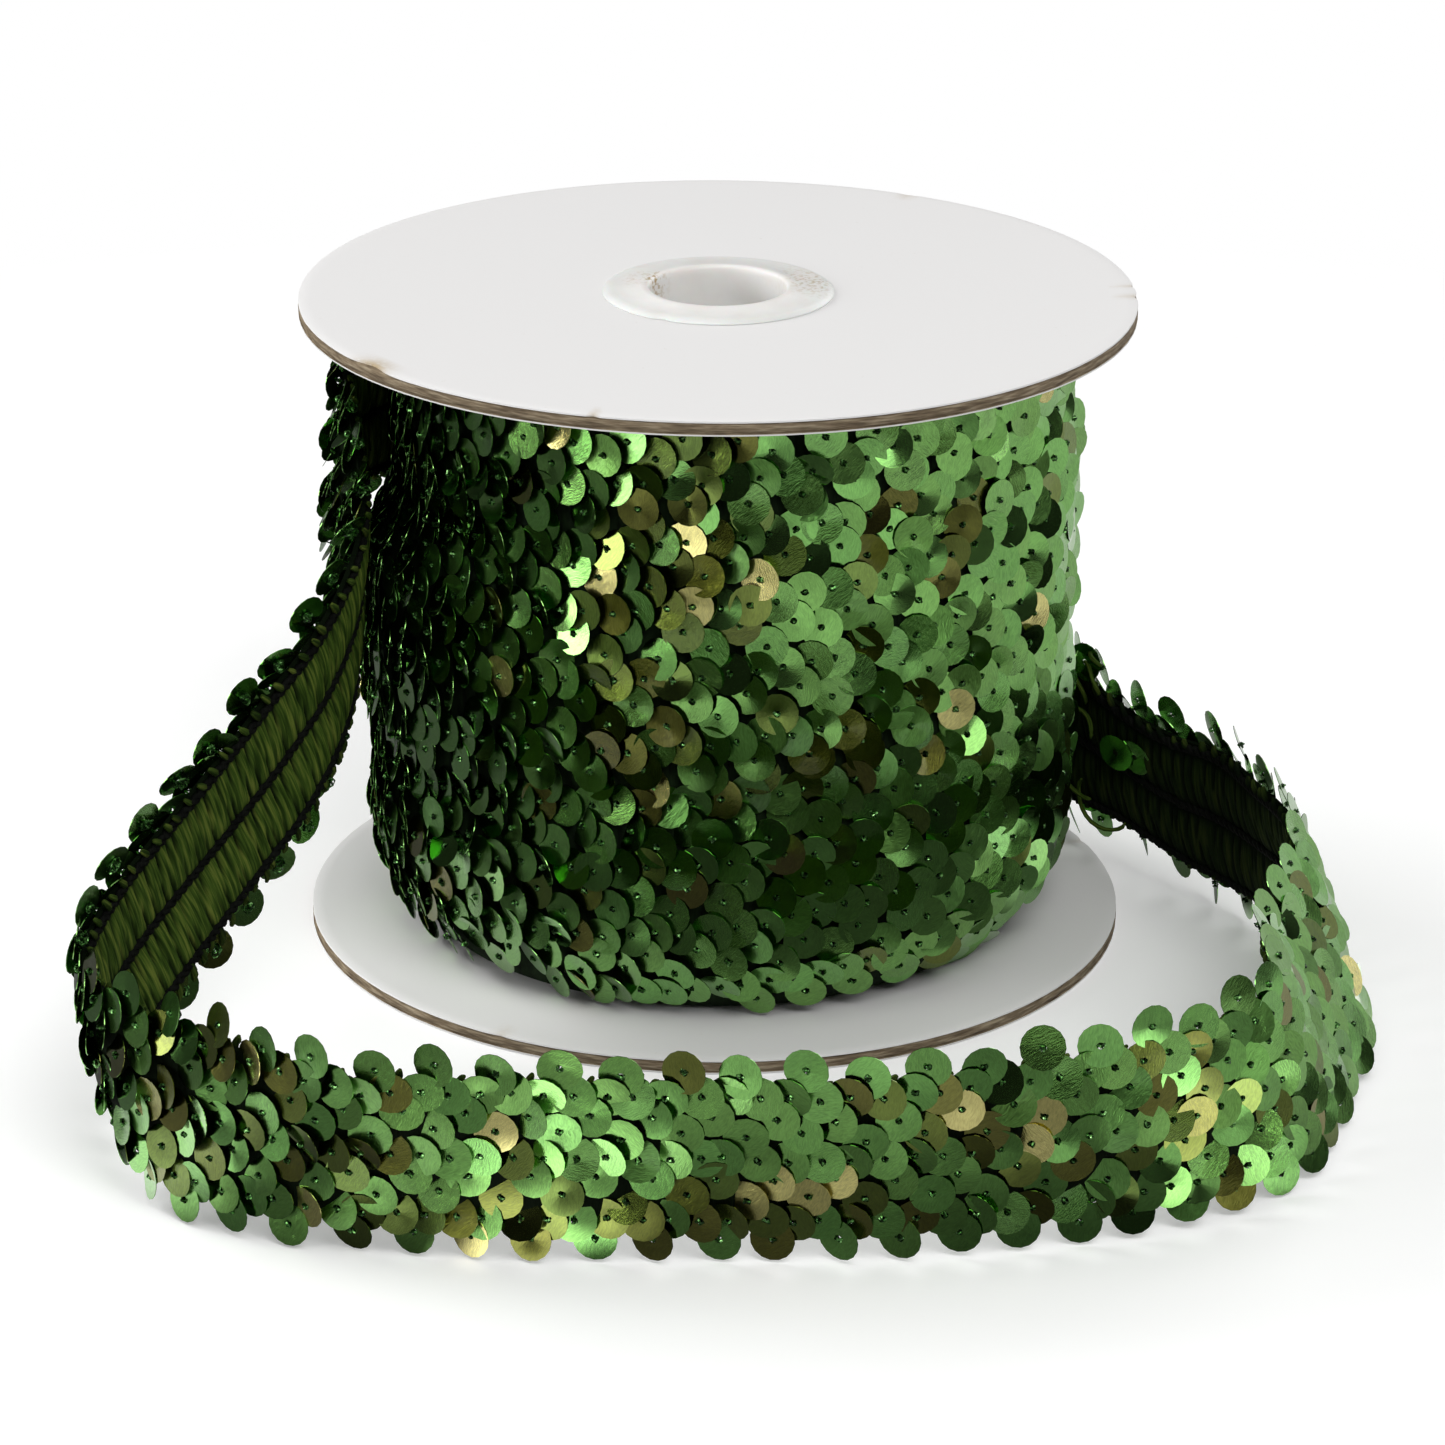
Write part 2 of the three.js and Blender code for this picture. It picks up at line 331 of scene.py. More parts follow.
# Cloth, thread and cut board: fine broken lines, coloured along a ramp and raised by a bump. Lines are
# across, along and wave of the streaks, and bump is its strength and its height in metres.
streakLooks = {
    "cloth": {
        "name": "dark green cloth",
        "lines": (900.0, 260.0, 0.001),
        "tones": [(0.3, (0.002, 0.004, 0.002)), (0.75, (0.012, 0.026, 0.008))],
        "bump": (0.6, 0.0003),
        "rough": 0.9,
        "shine": 0.1,
    },
    "gathered": {
        "name": "gathered green thread",
        "lines": (1700.0, 110.0, 0.0012),
        "tones": [(0.36, (0.016, 0.034, 0.004)), (0.5, (0.045, 0.082, 0.011)), (0.66, (0.12, 0.155, 0.026))],
        # near-black tone where the depth mark is set: painted shade, and on the edge loops also a random
        # darker tone
        "shadeAndDarkTone": (0.003, 0.006, 0.002),
        "bump": (0.9, 0.0003),
        "rough": 0.8,
        "shine": 0.05,
    },
    "stitch": {
        "name": "black stitching thread",
        "lines": (2600.0, 700.0, 0.001),
        "tones": [(0.3, (0.001, 0.001, 0.001)), (0.8, (0.007, 0.008, 0.006))],
        "bump": (0.6, 0.0002),
        "rough": 0.9,
        "shine": 0.1,
    },
    "boardEdge": {
        "name": "cut board edge",
        "lines": (2400.0, 260.0, 0.0008),
        "lineTurn": 90,
        "tones": [(0.3, (0.10, 0.070, 0.040)), (0.5, (0.20, 0.150, 0.092)), (0.72, (0.36, 0.295, 0.20))],
        "bump": (0.8, 0.0004),
        "rough": 0.85,
        "shine": 0.5,
    },
}


# The lines of a gathered cloth follow it, and its depth mark darkens them, mostly as painted shade. The
# others lie in the frame.
def streakedMaterial(look):
    material, tree, shader = newMaterial(look["name"])
    place = clothPlace(tree) if "shadeAndDarkTone" in look else objectPlace(tree)
    if "lineTurn" in look:
        turned = {"Vector": place, "Rotation": (0, math.radians(look["lineTurn"]), 0)}
        place = addNode(tree, "ShaderNodeMapping", turned).outputs["Vector"]
    streak = addStreaks(tree, place, *look["lines"]).outputs["Streak"]
    tone = colourRamp(tree, streak, look["tones"])
    if "shadeAndDarkTone" in look:
        tone = mixColours(tree, markAt(tree, "depth"), tone, look["shadeAndDarkTone"])
    addBump(tree, streak, shader, *look["bump"])
    setInputs(shader, {"Base Color": tone, "Roughness": look["rough"], "Specular IOR Level": look["shine"]})
    return material


# The facing paper, with a few flecks. Where its wear mark is set, it is torn down to the brown board.
paperFinish = {
    "white": (0.80, 0.79, 0.785),
    "grey": (0.77, 0.765, 0.755),
    "fleck": (0.55, 0.50, 0.42),
    "torn": (0.46, 0.35, 0.19),
}


def paperMaterial():
    material, tree, shader = newMaterial("white facing paper")
    place = objectPlace(tree)
    line = addStreaks(tree, place, 420.0, 130.0, 0.004)
    clouded = mapRange(tree, line.outputs["Cloud"], 0.3, 0.75, 0, 1)
    tone = mixColours(tree, clouded, paperFinish["white"], paperFinish["grey"])
    speck = noiseAt(tree, place, 900.0, 3.0, 0.7)
    tone = mixColours(tree, mapRange(tree, speck, 0.70, 0.76, 0, 0.35), tone, paperFinish["fleck"])
    torn = mapRange(tree, speck, 0.3, 0.5, 0.55, 1)
    torn = calculate(tree, "MULTIPLY", torn, markAt(tree, "wear"))
    tone = mixColours(tree, torn, tone, paperFinish["torn"])
    addBump(tree, line.outputs["Streak"], shader, 0.12, 0.0002)
    setInputs(shader, {"Base Color": tone, "Roughness": 0.62})
    return material


plasticFinish = {
    "white": (0.84, 0.83, 0.81),
    "yellowed": (0.78, 0.765, 0.735),
    "stain": (0.42, 0.30, 0.14),
}


def plasticMaterial():
    material, tree, shader = newMaterial("off-white plastic")
    place = objectPlace(tree)
    cloud = noiseAt(tree, place, 160.0, 3.0)
    clouded = mapRange(tree, cloud, 0.35, 0.7, 0, 1)
    tone = mixColours(tree, clouded, plasticFinish["white"], plasticFinish["yellowed"])
    dotted = mapRange(tree, noiseAt(tree, place, 1500.0, 2.0), 0.5, 0.62, 0, 1)
    dotted = calculate(tree, "MULTIPLY", dotted, markAt(tree, "stain"))
    tone = mixColours(tree, dotted, tone, plasticFinish["stain"])
    addBump(tree, cloud, shader, 0.1, 0.0005)
    setInputs(shader, {"Base Color": tone, "Roughness": 0.38, "Subsurface Weight": 0.15,
                       "Subsurface Scale": 0.002})
    return material


finish = {
    "sequin": sequinMaterial(),
    "knot": knotMaterial(),
    "paper": paperMaterial(),
    "plastic": plasticMaterial(),
}
for lookName, lookValues in streakLooks.items():
    finish[lookName] = streakedMaterial(lookValues)
print("stage: materials made")


# The two flanges: grey board between two facing papers, whose rims stand a little past the board.
flange = {
    "segments": 360,
    "paper": 0.3,
    "lip": 0.16,
    "boardRough": 0.07,
    "boardWaves": (7, 19, 43, 71, 110),
    "fray": 0.05,
    "frayWaves": (5, 23, 61, 97),
    "tear": 0.9,
    "wearFrom": 3.2,
    "wearWide": 2.4,
    "holeRound": 0.2,
    "faceRings": (24, 34, 44, 52, 56, 58.2),
}


# One closed profile of radius and height goes once round the axis. Sums of sine waves make its rim
# uneven, and bells at the scuffs draw the paper back from the board.
def makeFlange(name, node, low, holeRadius, seed, scuffs):
    rng = np.random.default_rng(seed)
    angle = np.arange(flange["segments"]) / flange["segments"] * turnDegrees
    outer = spool["radius"]
    high = low + spool["board"]
    rough = flange["boardRough"] * wander(angle, rng, flange["boardWaves"])
    fray = flange["fray"] * wander(angle, rng, flange["frayWaves"])
    torn = sum(share * bell(angleFrom(angle, at), wide) for at, wide, share in scuffs)
    # radius, height, change of the radius round the rim, and 0 for paper or 1 for board
    rim = [
        (outer - 0.30, high, fray - torn * flange["tear"], 0),
        (outer - 0.06, high - 0.08, fray - torn * flange["tear"], 0),
        (outer - 0.04, high - flange["paper"], fray - torn * flange["tear"], 1),
        (outer - flange["lip"] - 0.12, high - flange["paper"] - 0.08, rough, 1),
        (outer - 0.10, high - flange["paper"] - 0.35, rough, 1),
        (outer - 0.02, (low + high) / 2, rough, 1),
        (outer - 0.10, low + flange["paper"] + 0.35, rough, 1),
        (outer - flange["lip"] - 0.12, low + flange["paper"] + 0.08, rough, 1),
        (outer - 0.04, low + flange["paper"], fray, 0),
        (outer - 0.06, low + 0.08, fray, 0),
        (outer - 0.30, low, fray, 0),
    ]
    faceRings = [holeRadius + flange["holeRound"], *flange["faceRings"]]
    rows = [(holeRadius, z, 0 * angle, 0) for z in (low + flange["holeRound"], high - flange["holeRound"])]
    rows += [(r, high, 0 * angle, 0) for r in faceRings] + rim
    rows += [(r, low, 0 * angle, 0) for r in reversed(faceRings)]
    radius = np.array([r + change for r, z, change, kind in rows])
    height = np.array([z + 0 * angle for r, z, change, kind in rows])
    points = turnedPoints(radius, height, angle)
    kinds = np.repeat([kind for r, z, change, kind in rows], flange["segments"])
    reach = np.clip((radius - (outer - flange["wearFrom"])) / flange["wearWide"], 0, 1)
    wear = reach * torn[None, :] * (height > high - 0.4)
    faces = turnedFaces(len(rows), flange["segments"])
    piece = newPiece(name, points, faces, [finish["paper"], finish["boardEdge"]],
                     faceMaterial=kinds, marks={"wear": np.clip(wear, 0, 1)})
    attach(piece, "root")
    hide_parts(node)


# Where the upper board is worn: angle, half width in degrees and how deep, 1 for the largest.
topScuffs = [(-142.5, 3.0, 1.0), (-106.0, 0.6, 0.5), (-1.0, 0.9, 0.5), (4.0, 0.7, 0.4), (61.0, 1.2, 0.4)]
footScuffs = [(-120.0, 1.0, 0.3), (20.0, 0.8, 0.3), (140.0, 1.4, 0.4)]
makeFlange("upper_board", "flange_top", boardLow.z / mm,
           spool["coreRadius"] + spool["gap"], 11, topScuffs)
makeFlange("lower_board", "flange_bottom", footLow.z / mm,
           spool["collarRadius"] + spool["gap"], 12, footScuffs)
print("stage: boards made")


# The plastic core: a tube with a rounded collar on the upper board and a flush one below.
core = {
    "segments": 128,
    "round": 0.35,
    "nickAt": -118.0,
    "nickHalf": 3.0,
    "nickDeep": 0.5,
    "lipHigh": 0.25,
    "lipWide": 1.4,
    # angle, half width of it, radius, half width of it, strength
    "stains": [(158, 14, 10.4, 1.4, 1.2), (12, 24, 13.5, 2.4, 1.0)],
    "stainDeep": 1.5,
}


# One closed profile of radius and height goes once round the axis. A bell in the angle cuts the nick.
def makeCore():
    angle = np.arange(core["segments"]) / core["segments"] * turnDegrees
    top = spool["collarTop"]
    seat = spool["overall"] + 0.05
    foot = spool["board"] + spool["gap"]
    bore = spool["boreRadius"]
    edge = spool["collarRadius"]
    e = core["round"]
    nick = core["nickDeep"] * bell(angleFrom(angle, core["nickAt"]), core["nickHalf"])
    # radius, height and share of the nick
    rows = [
        (bore, 0.5, 0),
        (bore, top - 6.0, 0),
        (bore, top - 1.2, 0),
        (bore + 0.05, top - 0.5, 0),
        (bore + 0.2, top - 0.12, 0),
        (bore + 0.5, top, 0),
        (bore + core["lipWide"], top - 0.03, 0),
        (bore + core["lipWide"] + 0.4, top - core["lipHigh"], 0),
        (edge - 1.6, top - core["lipHigh"] - 0.05, 0),
        (edge - 0.9, top - core["lipHigh"] - 0.12, 1),
        (edge - 0.35, top - core["lipHigh"] - e * 0.8, 1),
        (edge, top - 0.8, 1),
        (edge, seat, 1),
        (spool["coreRadius"], seat, 0),
        (spool["coreRadius"], foot, 0),
        (edge, foot, 0),
        (edge, 0.1, 0),
        (edge - 0.1, 0, 0),
        (bore + 0.4, 0, 0),
        (bore + 0.1, 0.15, 0),
    ]
    radius = np.array([r - nick * share for r, z, share in rows])
    height = np.array([z + 0 * angle for r, z, share in rows])
    points = turnedPoints(radius, height, angle)
    stain = np.zeros_like(radius)
    for at, wide, middle, across, strength in core["stains"]:
        stain += strength * bell(angleFrom(angle, at), wide) * bell(radius - middle, across)
    stain = np.clip(stain, 0, 1) * (height > top - core["stainDeep"])
    piece = newPiece("plastic_core", points, turnedFaces(len(rows), core["segments"]),
                     [finish["plastic"]], marks={"stain": stain}, sharpAngle=50)
    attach(piece, "root")
    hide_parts("core")


makeCore()
print("stage: core made")


# The wound trim. The outline is the height and radius of the winding; the laps slant up to the right.
winding = {
    "pitch": 38.0,
    "lapLow": 37.0,
    "lapFrom": -90.0,
    "meanRadius": 52.0,
    "grooveDeep": 0.9,
    "grooveHalf": 1.7,
    "swell": 0.35,
    "rightSwell": 0.5,
    "hollow": 4.6,
    "hollowAt": 187.0,
    "hollowHalf": 30.0,
    "hollowFrom": 60.0,
    "hollowTo": 72.0,
    "outlineZ": (2.8, 6, 11, 17, 26, 45, 62, 80, 92.8),
    "outlineR": (45.2, 47.6, 50.2, 51.7, 52.2, 52.1, 51.6, 51.6, 51.5),
    "clothUnder": 2.3,
    "clothRows": 64,
    "clothSides": 240,
    "low": 2.8,
    "high": 92.8,
}
lapRise = winding["pitch"] / (2 * math.pi * winding["meanRadius"])
lapCos = 1 / math.sqrt(1 + lapRise**2)
lapSin = lapRise * lapCos


# Radius of the winding at an angle and a height, the same form as the solid that it replaces.
def windingRadius(angle, z, grooved=True):
    w = winding
    turn = ((angle - w["lapFrom"]) % turnDegrees) / turnDegrees
    into = (z - w["lapLow"] - w["pitch"] * turn) % w["pitch"]
    off = np.minimum(into, w["pitch"] - into)
    groove = w["grooveDeep"] * bell(off, w["grooveHalf"]) * grooved
    swell = w["swell"] * np.sin(math.pi * into / w["pitch"])
    side = bell(angleFrom(angle, w["hollowAt"]), w["hollowHalf"])
    hollow = w["hollow"] * side * ease(z, w["hollowFrom"], w["hollowTo"])
    outline = np.interp(z, w["outlineZ"], w["outlineR"])
    return outline + w["rightSwell"] * np.cos(np.radians(angle)) + swell - groove - hollow


# A point of the wound trim from its distance along the trim and across it, moved out by a distance.
# At 0 along, the middle of the trim is at the front of the roll, half a lap above its lower boundary.
def rollPoint(along, across, out, grooved=False):
    arc = along * lapCos - across * lapSin
    z = winding["lapLow"] + winding["pitch"] / 2 + along * lapSin + across * lapCos
    angle = winding["lapFrom"] + np.degrees(arc / winding["meanRadius"])
    radius = windingRadius(angle, z, grooved) + out
    a = np.radians(angle)
    return np.stack([radius * np.cos(a), radius * np.sin(a), z + 0 * a], axis=-1)


# The radius of the winding less the depth of the cloth, over angle and height, closed on the core.
def makeWindingCloth():
    rows, sides = winding["clothRows"], winding["clothSides"]
    angle = np.arange(sides) / sides * turnDegrees
    heights = np.linspace(winding["high"], winding["low"], rows)
    a, z = np.meshgrid(angle, heights)
    radius = windingRadius(a, z) - winding["clothUnder"]
    inner = spool["coreRadius"] + spool["gap"]
    radius = np.vstack([np.full((2, sides), inner), radius])
    ends = np.repeat([[winding["low"]], [winding["high"]]], sides, axis=1)
    height = np.vstack([ends, z])
    points = turnedPoints(radius, height, angle)
    piece = newPiece("winding_cloth", points, turnedFaces(rows + 2, sides), [finish["cloth"]])
    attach(piece, "root")
    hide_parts("roll")


makeWindingCloth()
print("stage: winding made")


# The loose end, on the same route as the solid that it replaces. Where the route is lower than the
# snap height, the lower edge is set down on the surface.
strip = {
    "wide": 34.0,
    "snap": 0.3,
}
route = np.array([
    # lower edge x, y and z, how far the upper edge stands over in x and y, how far the middle bows out
    (-50.8, 16.8, 58.2, 2.6, -5.0, 0),
    (-56.0, 7.6, 56.6, 3.0, -8.6, 0),
    (-55.4, -3.2, 52.6, 4.6, -11.4, 0),
    (-53.2, -13.6, 47.0, 4.4, -13.4, 0),
    (-51.8, -22.6, 40.6, 1.2, -14.2, 0),
    (-52.4, -32.4, 33.6, -3.0, -13.6, 0.5),
    (-55.6, -42.5, 27.0, -6.6, -11.6, 1),
    (-61.4, -51.5, 20.8, -7.0, -11.4, 1.5),
    (-67.2, -61.0, 14.8, -7.6, -10.4, 2),
    (-72.4, -71.0, 9.6, -7.8, -9.4, 2.5),
    (-75.8, -82.0, 5.2, -6.6, -8.6, 3),
    (-75.4, -93.8, 2.0, -1.6, -6.0, 3),
    (-69.6, -103.2, 0, 2.8, -2.6, 2),
    (-59.4, -109.6, 0, 2.0, -4.2, 1),
    (-47.4, -112.4, 0, 0, -7.8, 0.5),
    (-24.0, -114.6, 0, -0.4, -7.2, 0.5),
    (0.5, -114.5, 0, -0.6, -7.8, 0.5),
    (24.6, -113.8, 0, -1.0, -7.8, 0.5),
    (48.4, -109.0, 0, -2.2, -5.4, 0.5),
    (60.2, -104.4, 0, -2.6, -5.0, 0.5),
    (71.2, -98.6, 0, -4.8, -2.2, 1),
    (79.6, -89.6, 0, -7.2, -1.2, 1),
    (84.4, -78.0, 0, -12.2, -0.4, 1),
    (88.2, -65.8, 0, -15.8, 0.2, 1),
    (91.6, -53.6, 0, -15.8, -0.1, 1),
    (92.0, -40.8, 0, -12.8, -1.2, 1),
    (89.2, -28.4, 0, -9.4, -1.6, 1),
    (84.4, -16.6, 0, -7.6, -2.0, 0.5),
    (77.6, -5.4, 0, -4.6, -1.4, 0),
    (70.6, 5.6, 0.6, -6.4, -3.8, 0),
    (62.4, 14.0, 2.8, -5.4, -3.4, 0),
    (53.8, 21.0, 3.2, -0.6, 0.2, 0),
])


# A cubic through the rows of the route: between two rows the slope follows their neighbours. Beyond
# either end it goes straight on.
def routeAt(at):
    last = len(route) - 1
    inside = np.clip(at, 0, last)
    i = np.clip(np.floor(inside).astype(int), 0, last - 1)
    t = (inside - i)[..., None]
    p1 = route[i]
    p2 = route[i + 1]
    p0 = np.where((i > 0)[..., None], route[np.maximum(i - 1, 0)], 2 * p1 - p2)
    p3 = np.where((i + 2 <= last)[..., None], route[np.minimum(i + 2, last)], 2 * p2 - p1)
    m1 = (p2 - p0) / 2
    m2 = (p3 - p1) / 2
    t2 = t * t
    t3 = t2 * t
    value = (2 * t3 - 3 * t2 + 1) * p1 + (t3 - 2 * t2 + t) * m1 + (3 * t2 - 2 * t3) * p2 + (t3 - t2) * m2
    beyond = (at - inside)[..., None]
    ahead = np.where(beyond > 0, route[-1] - route[-2], route[1] - route[0])
    return value + beyond * ahead


# A point of the loose end from its place in the route, its share of the width from the lower edge,
# and its distance out from the middle of the cloth on the sequined side.
def stripPoint(at, share, out):
    nudge = 0.02
    values = routeAt(at)
    low = values[..., :3].copy()
    low[..., 2] = np.where(low[..., 2] < strip["snap"], 0, low[..., 2])
    over = values[..., 3:5]
    bow = values[..., 5]
    chord = strip["wide"] - (8 / 3) * bow**2 / strip["wide"]
    rise = np.sqrt(chord**2 - (over**2).sum(axis=-1))
    up = unit(np.concatenate([over, rise[..., None]], axis=-1))
    ahead = unit((routeAt(at + nudge) - routeAt(at - nudge))[..., :3])
    outward = unit(np.cross(ahead, up))
    bulge = bow * (1 - (2 * share - 1) ** 2)
    return low + up * (chord * share)[..., None] + outward * (bulge + out)[..., None]


# Distance along the middle of the loose end, measured on a fine run of its route.
routeFine = np.linspace(-1, len(route), 4001)
middleLine = stripPoint(routeFine, np.full(4001, 0.5), np.zeros(4001))
middleSteps = np.linalg.norm(np.diff(middleLine, axis=0), axis=1)
middleDistance = np.concatenate([[0], np.cumsum(middleSteps)])
middleDistance -= np.interp(0, routeFine, middleDistance)
tailLength = float(np.interp(len(route) - 1, routeFine, middleDistance))
print(f"loose end: {tailLength:.1f} mm along its middle")


# A point of the loose end from the distance along and across it, in millimetres.
def tailPoint(along, across, out):
    at = np.interp(along, middleDistance, routeFine)
    tuck = 2.0 * (1 - ease(along, -4, 16))
    return stripPoint(at, across / strip["wide"] + 0.5, out - tuck)


# The zigzag rows of sequins: three bands side by side along the trim, four sequins to each wave.
trim = {
    "bandAt": (-10.0, 0.0, 10.0),
    "waveLong": 7.8,
    "waveHigh": 3.3,
    "highRise": 0.9,
    "jitter": 0.28,
    "tilt": 16.5,
    "tiltSpread": 8.0,
    "tiltLeast": 4.0,
    "tiltMost": 46.0,
    "lean": (-22.0, -42.0, -24.0, 8.0),
    "leanSpread": 14.0,
}


# Places of the sequins' holes: along the trim in even steps, across it up and down a zigzag.
def trimPattern(start, end, bands, rng):
    step = trim["waveLong"] / 4
    index = np.arange(math.ceil(start / step), math.floor(end / step) + 1)
    index, band = np.meshgrid(index, np.array(bands), indexing="ij")
    index, band = index.ravel(), band.ravel()
    turn = index % 4
    zigzag = np.array([1, 0, -1, 0])[turn] * trim["waveHigh"]
    high = trim["highRise"] * (index % 8 == 0)
    along = index * step + rng.normal(0, trim["jitter"], len(index))
    across = band + zigzag + high + rng.normal(0, trim["jitter"], len(index))
    return along, across, turn


# Directions on the trim at each place: ahead along it, up across it and out of its face.
def trimFrame(pointOf, along, across, out):
    d = 0.4
    ahead = unit(pointOf(along + d, across, out) - pointOf(along - d, across, out))
    up = pointOf(along, across + d, out) - pointOf(along, across - d, out)
    outward = unit(np.cross(ahead, up))
    return ahead, np.cross(outward, ahead), outward


# How each sequin lies: it is turned so that the edge ahead of it rides up on the next one.
def tiltSequins(ahead, up, outward, turn, rng, steeper=0.0):
    count = len(turn)
    lean = np.radians(np.array(trim["lean"])[turn] + rng.normal(0, trim["leanSpread"], count))
    tilt = trim["tilt"] + steeper + rng.normal(0, trim["tiltSpread"], count)
    tilt = np.radians(np.clip(tilt, trim["tiltLeast"], trim["tiltMost"]))[:, None]
    way = np.cos(lean)[:, None] * ahead + np.sin(lean)[:, None] * up
    normal = np.cos(tilt) * outward - np.sin(tilt) * way
    front = np.cos(tilt) * way + np.sin(tilt) * outward
    return front, unit(normal)


# One sequin: a thin round plate with a hole, a little dished and bent.
sequin = {
    "radius": 3.0,
    "hole": 0.48,
    "thick": 0.10,
    "sides": 16,
    "dish": 0.06,
    "dishSpread": 0.06,
    "bend": 0.10,
    "grainTurn": 0.35,
    "grainShift": 50,
}


# Plates as joined rings: four rings of points a plate, set out in its own plane and raised by its
# thickness, by a dish that grows with the square of the radius and by a bend across one direction.
def sequinPoints(centre, front, normal, rng):
    count = len(centre)
    turns = np.arange(sequin["sides"]) / sequin["sides"] * 2 * math.pi
    radius = np.array([sequin["hole"], sequin["radius"], sequin["radius"], sequin["hole"]])
    level = np.array([1, 1, -1, -1]) * sequin["thick"] / 2
    x = radius[:, None] * np.cos(turns)
    y = radius[:, None] * np.sin(turns)
    share = (radius / sequin["radius"]) ** 2
    dish = rng.normal(sequin["dish"], sequin["dishSpread"], count)[:, None, None]
    bend = rng.normal(0, sequin["bend"], count)[:, None, None]
    bendTurn = rng.uniform(0, math.pi, count)[:, None, None]
    bent = (x * np.cos(bendTurn) + y * np.sin(bendTurn)) ** 2 / sequin["radius"] ** 2
    z = level[:, None] + dish * share[:, None] + bend * bent
    side = np.cross(normal, front)
    points = (centre[:, None, None] + x[..., None] * front[:, None, None]
              + y[..., None] * side[:, None, None] + z[..., None] * normal[:, None, None])
    shift = rng.uniform(0, sequin["grainShift"], (count, 2))[:, None, None]
    spin = rng.normal(0, sequin["grainTurn"], count)[:, None, None]
    u = (x * np.cos(spin) - y * np.sin(spin)) / (2 * sequin["radius"])
    v = (x * np.sin(spin) + y * np.cos(spin)) / (2 * sequin["radius"])
    return points, np.stack([u, v], axis=-1) + shift


# Where sequins are olive: patches with a middle, a spread and the share of olive sequins there.
rollOlive = [
    # angle, height, spread of angle, spread of height, share
    (-99, 76, 11, 9, 0.75),
    (-88, 66, 13, 9, 0.5),
    (-105, 60, 12, 8, 0.5),
    (-98, 44, 12, 8, 0.5),
    (-70, 40, 14, 9, 0.35),
    (-60, 72, 10, 8, 0.3),
    (-110, 24, 12, 8, 0.25),
    (60, 50, 30, 24, 0.3),
    (150, 40, 26, 20, 0.3),
]
tailOlive = [
    # along, across, spread along, spread across, share
    (150, 0, 16, 14, 0.45),
    (176, -6, 14, 12, 0.5),
    (200, -10, 20, 8, 0.6),
    (232, -10, 22, 7, 0.55),
    (262, 2, 18, 12, 0.4),
    (286, -2, 12, 10, 0.35),
    (60, 0, 25, 14, 0.2),
]


# How the film is spread over the sequins. A film mark of 0 is green, 0.5 olive and 1 gold.
filmSpread = {
    "oliveLeast": 0.05,
    "oliveMost": 0.85,
    "goldenShare": 0.04,
    "golden": (0.75, 0.95),
    "olive": (0.34, 0.56),
    "green": (0, 0.13),
    "satinShare": 0.5,
    "satin": (0.6, 1),
    "smooth": (0, 0.25),
}


# Share of olive sequins at a place: a least share and a bell in both directions for each patch.
def oliveShare(first, second, patches, cyclic):
    share = np.full(len(first), filmSpread["oliveLeast"])
    for at, other, wide, high, most in patches:
        way = angleFrom(first, at) if cyclic else first - at
        share += most * bell(way, wide) * bell(second - other, high)
    return np.clip(share, 0, filmSpread["oliveMost"])


# Single gold sequins: the nearest one to each place takes the gold colour. On the
# roll a place is angle and height, on the loose end it is along and across.
rollGold = [(-92.4, 74.0), (-82.7, 71.8), (-117.0, 88.0), (-97.0, 41.0), (-109.0, 66.0), (40.0, 60.0),
            (132.0, 30.0), (205.0, 24.0)]
tailGold = [(195.5, 4.5), (229.0, -5.5), (237.0, -3.0), (257.0, 6.5), (261.5, -0.5), (192.0, -12.0),
            (120.0, 3.0), (352.0, -4.0)]


def turnGold(film, first, second, places, perUnit):
    for at, other in places:
        nearest = np.argmin(((first - at) * perUnit) ** 2 + (second - other) ** 2)
        film[nearest] = 1.0


# Chance by chance, one of two random values between their limits.
def eitherOf(chance, limits, otherLimits, rng):
    count = len(chance)
    return np.where(chance, rng.uniform(*limits, count), rng.uniform(*otherLimits, count))


def filmMarks(share, rng):
    spread = filmSpread
    count = len(share)
    golden = rng.uniform(0, 1, count) < spread["goldenShare"]
    olive = eitherOf(golden, spread["golden"], spread["olive"], rng)
    turned = rng.uniform(0, 1, count) < share
    film = np.where(turned, olive, rng.uniform(*spread["green"], count))
    rubbed = rng.uniform(0, 1, count) < spread["satinShare"]
    return film, eitherOf(rubbed, spread["satin"], spread["smooth"], rng)


def makeSequins(name, centre, front, normal, film, satin, rng):
    points, uv = sequinPoints(centre, front, normal, rng)
    oneFace = turnedFaces(4, sequin["sides"])
    perSequin = 4 * sequin["sides"]
    faces = (oneFace[None] + np.arange(len(centre))[:, None, None] * perSequin).reshape(-1, 4)
    marks = {"film": np.repeat(film, perSequin), "satin": np.repeat(satin, perSequin)}
    piece = newPiece(name, points, faces, [finish["sequin"]], uv=uv, marks=marks, sharpAngle=45)
    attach(piece, "root")
    return piece


# The knot at each hole: two short shiny strands that come up through it and go down again.
knot = {
    "radius": 0.18,
    "pathX": (0.36, 0.30, 0.0, -0.34, -0.52),
    "pathY": (0.4, 1, -0.6, 0.8, 0.2),
    "pathZ": (-0.45, 0.14, 0.36, 0.22, -0.30),
    "spread": (0.07, 0.08, 0.06),
    "apart": 0.22,
}


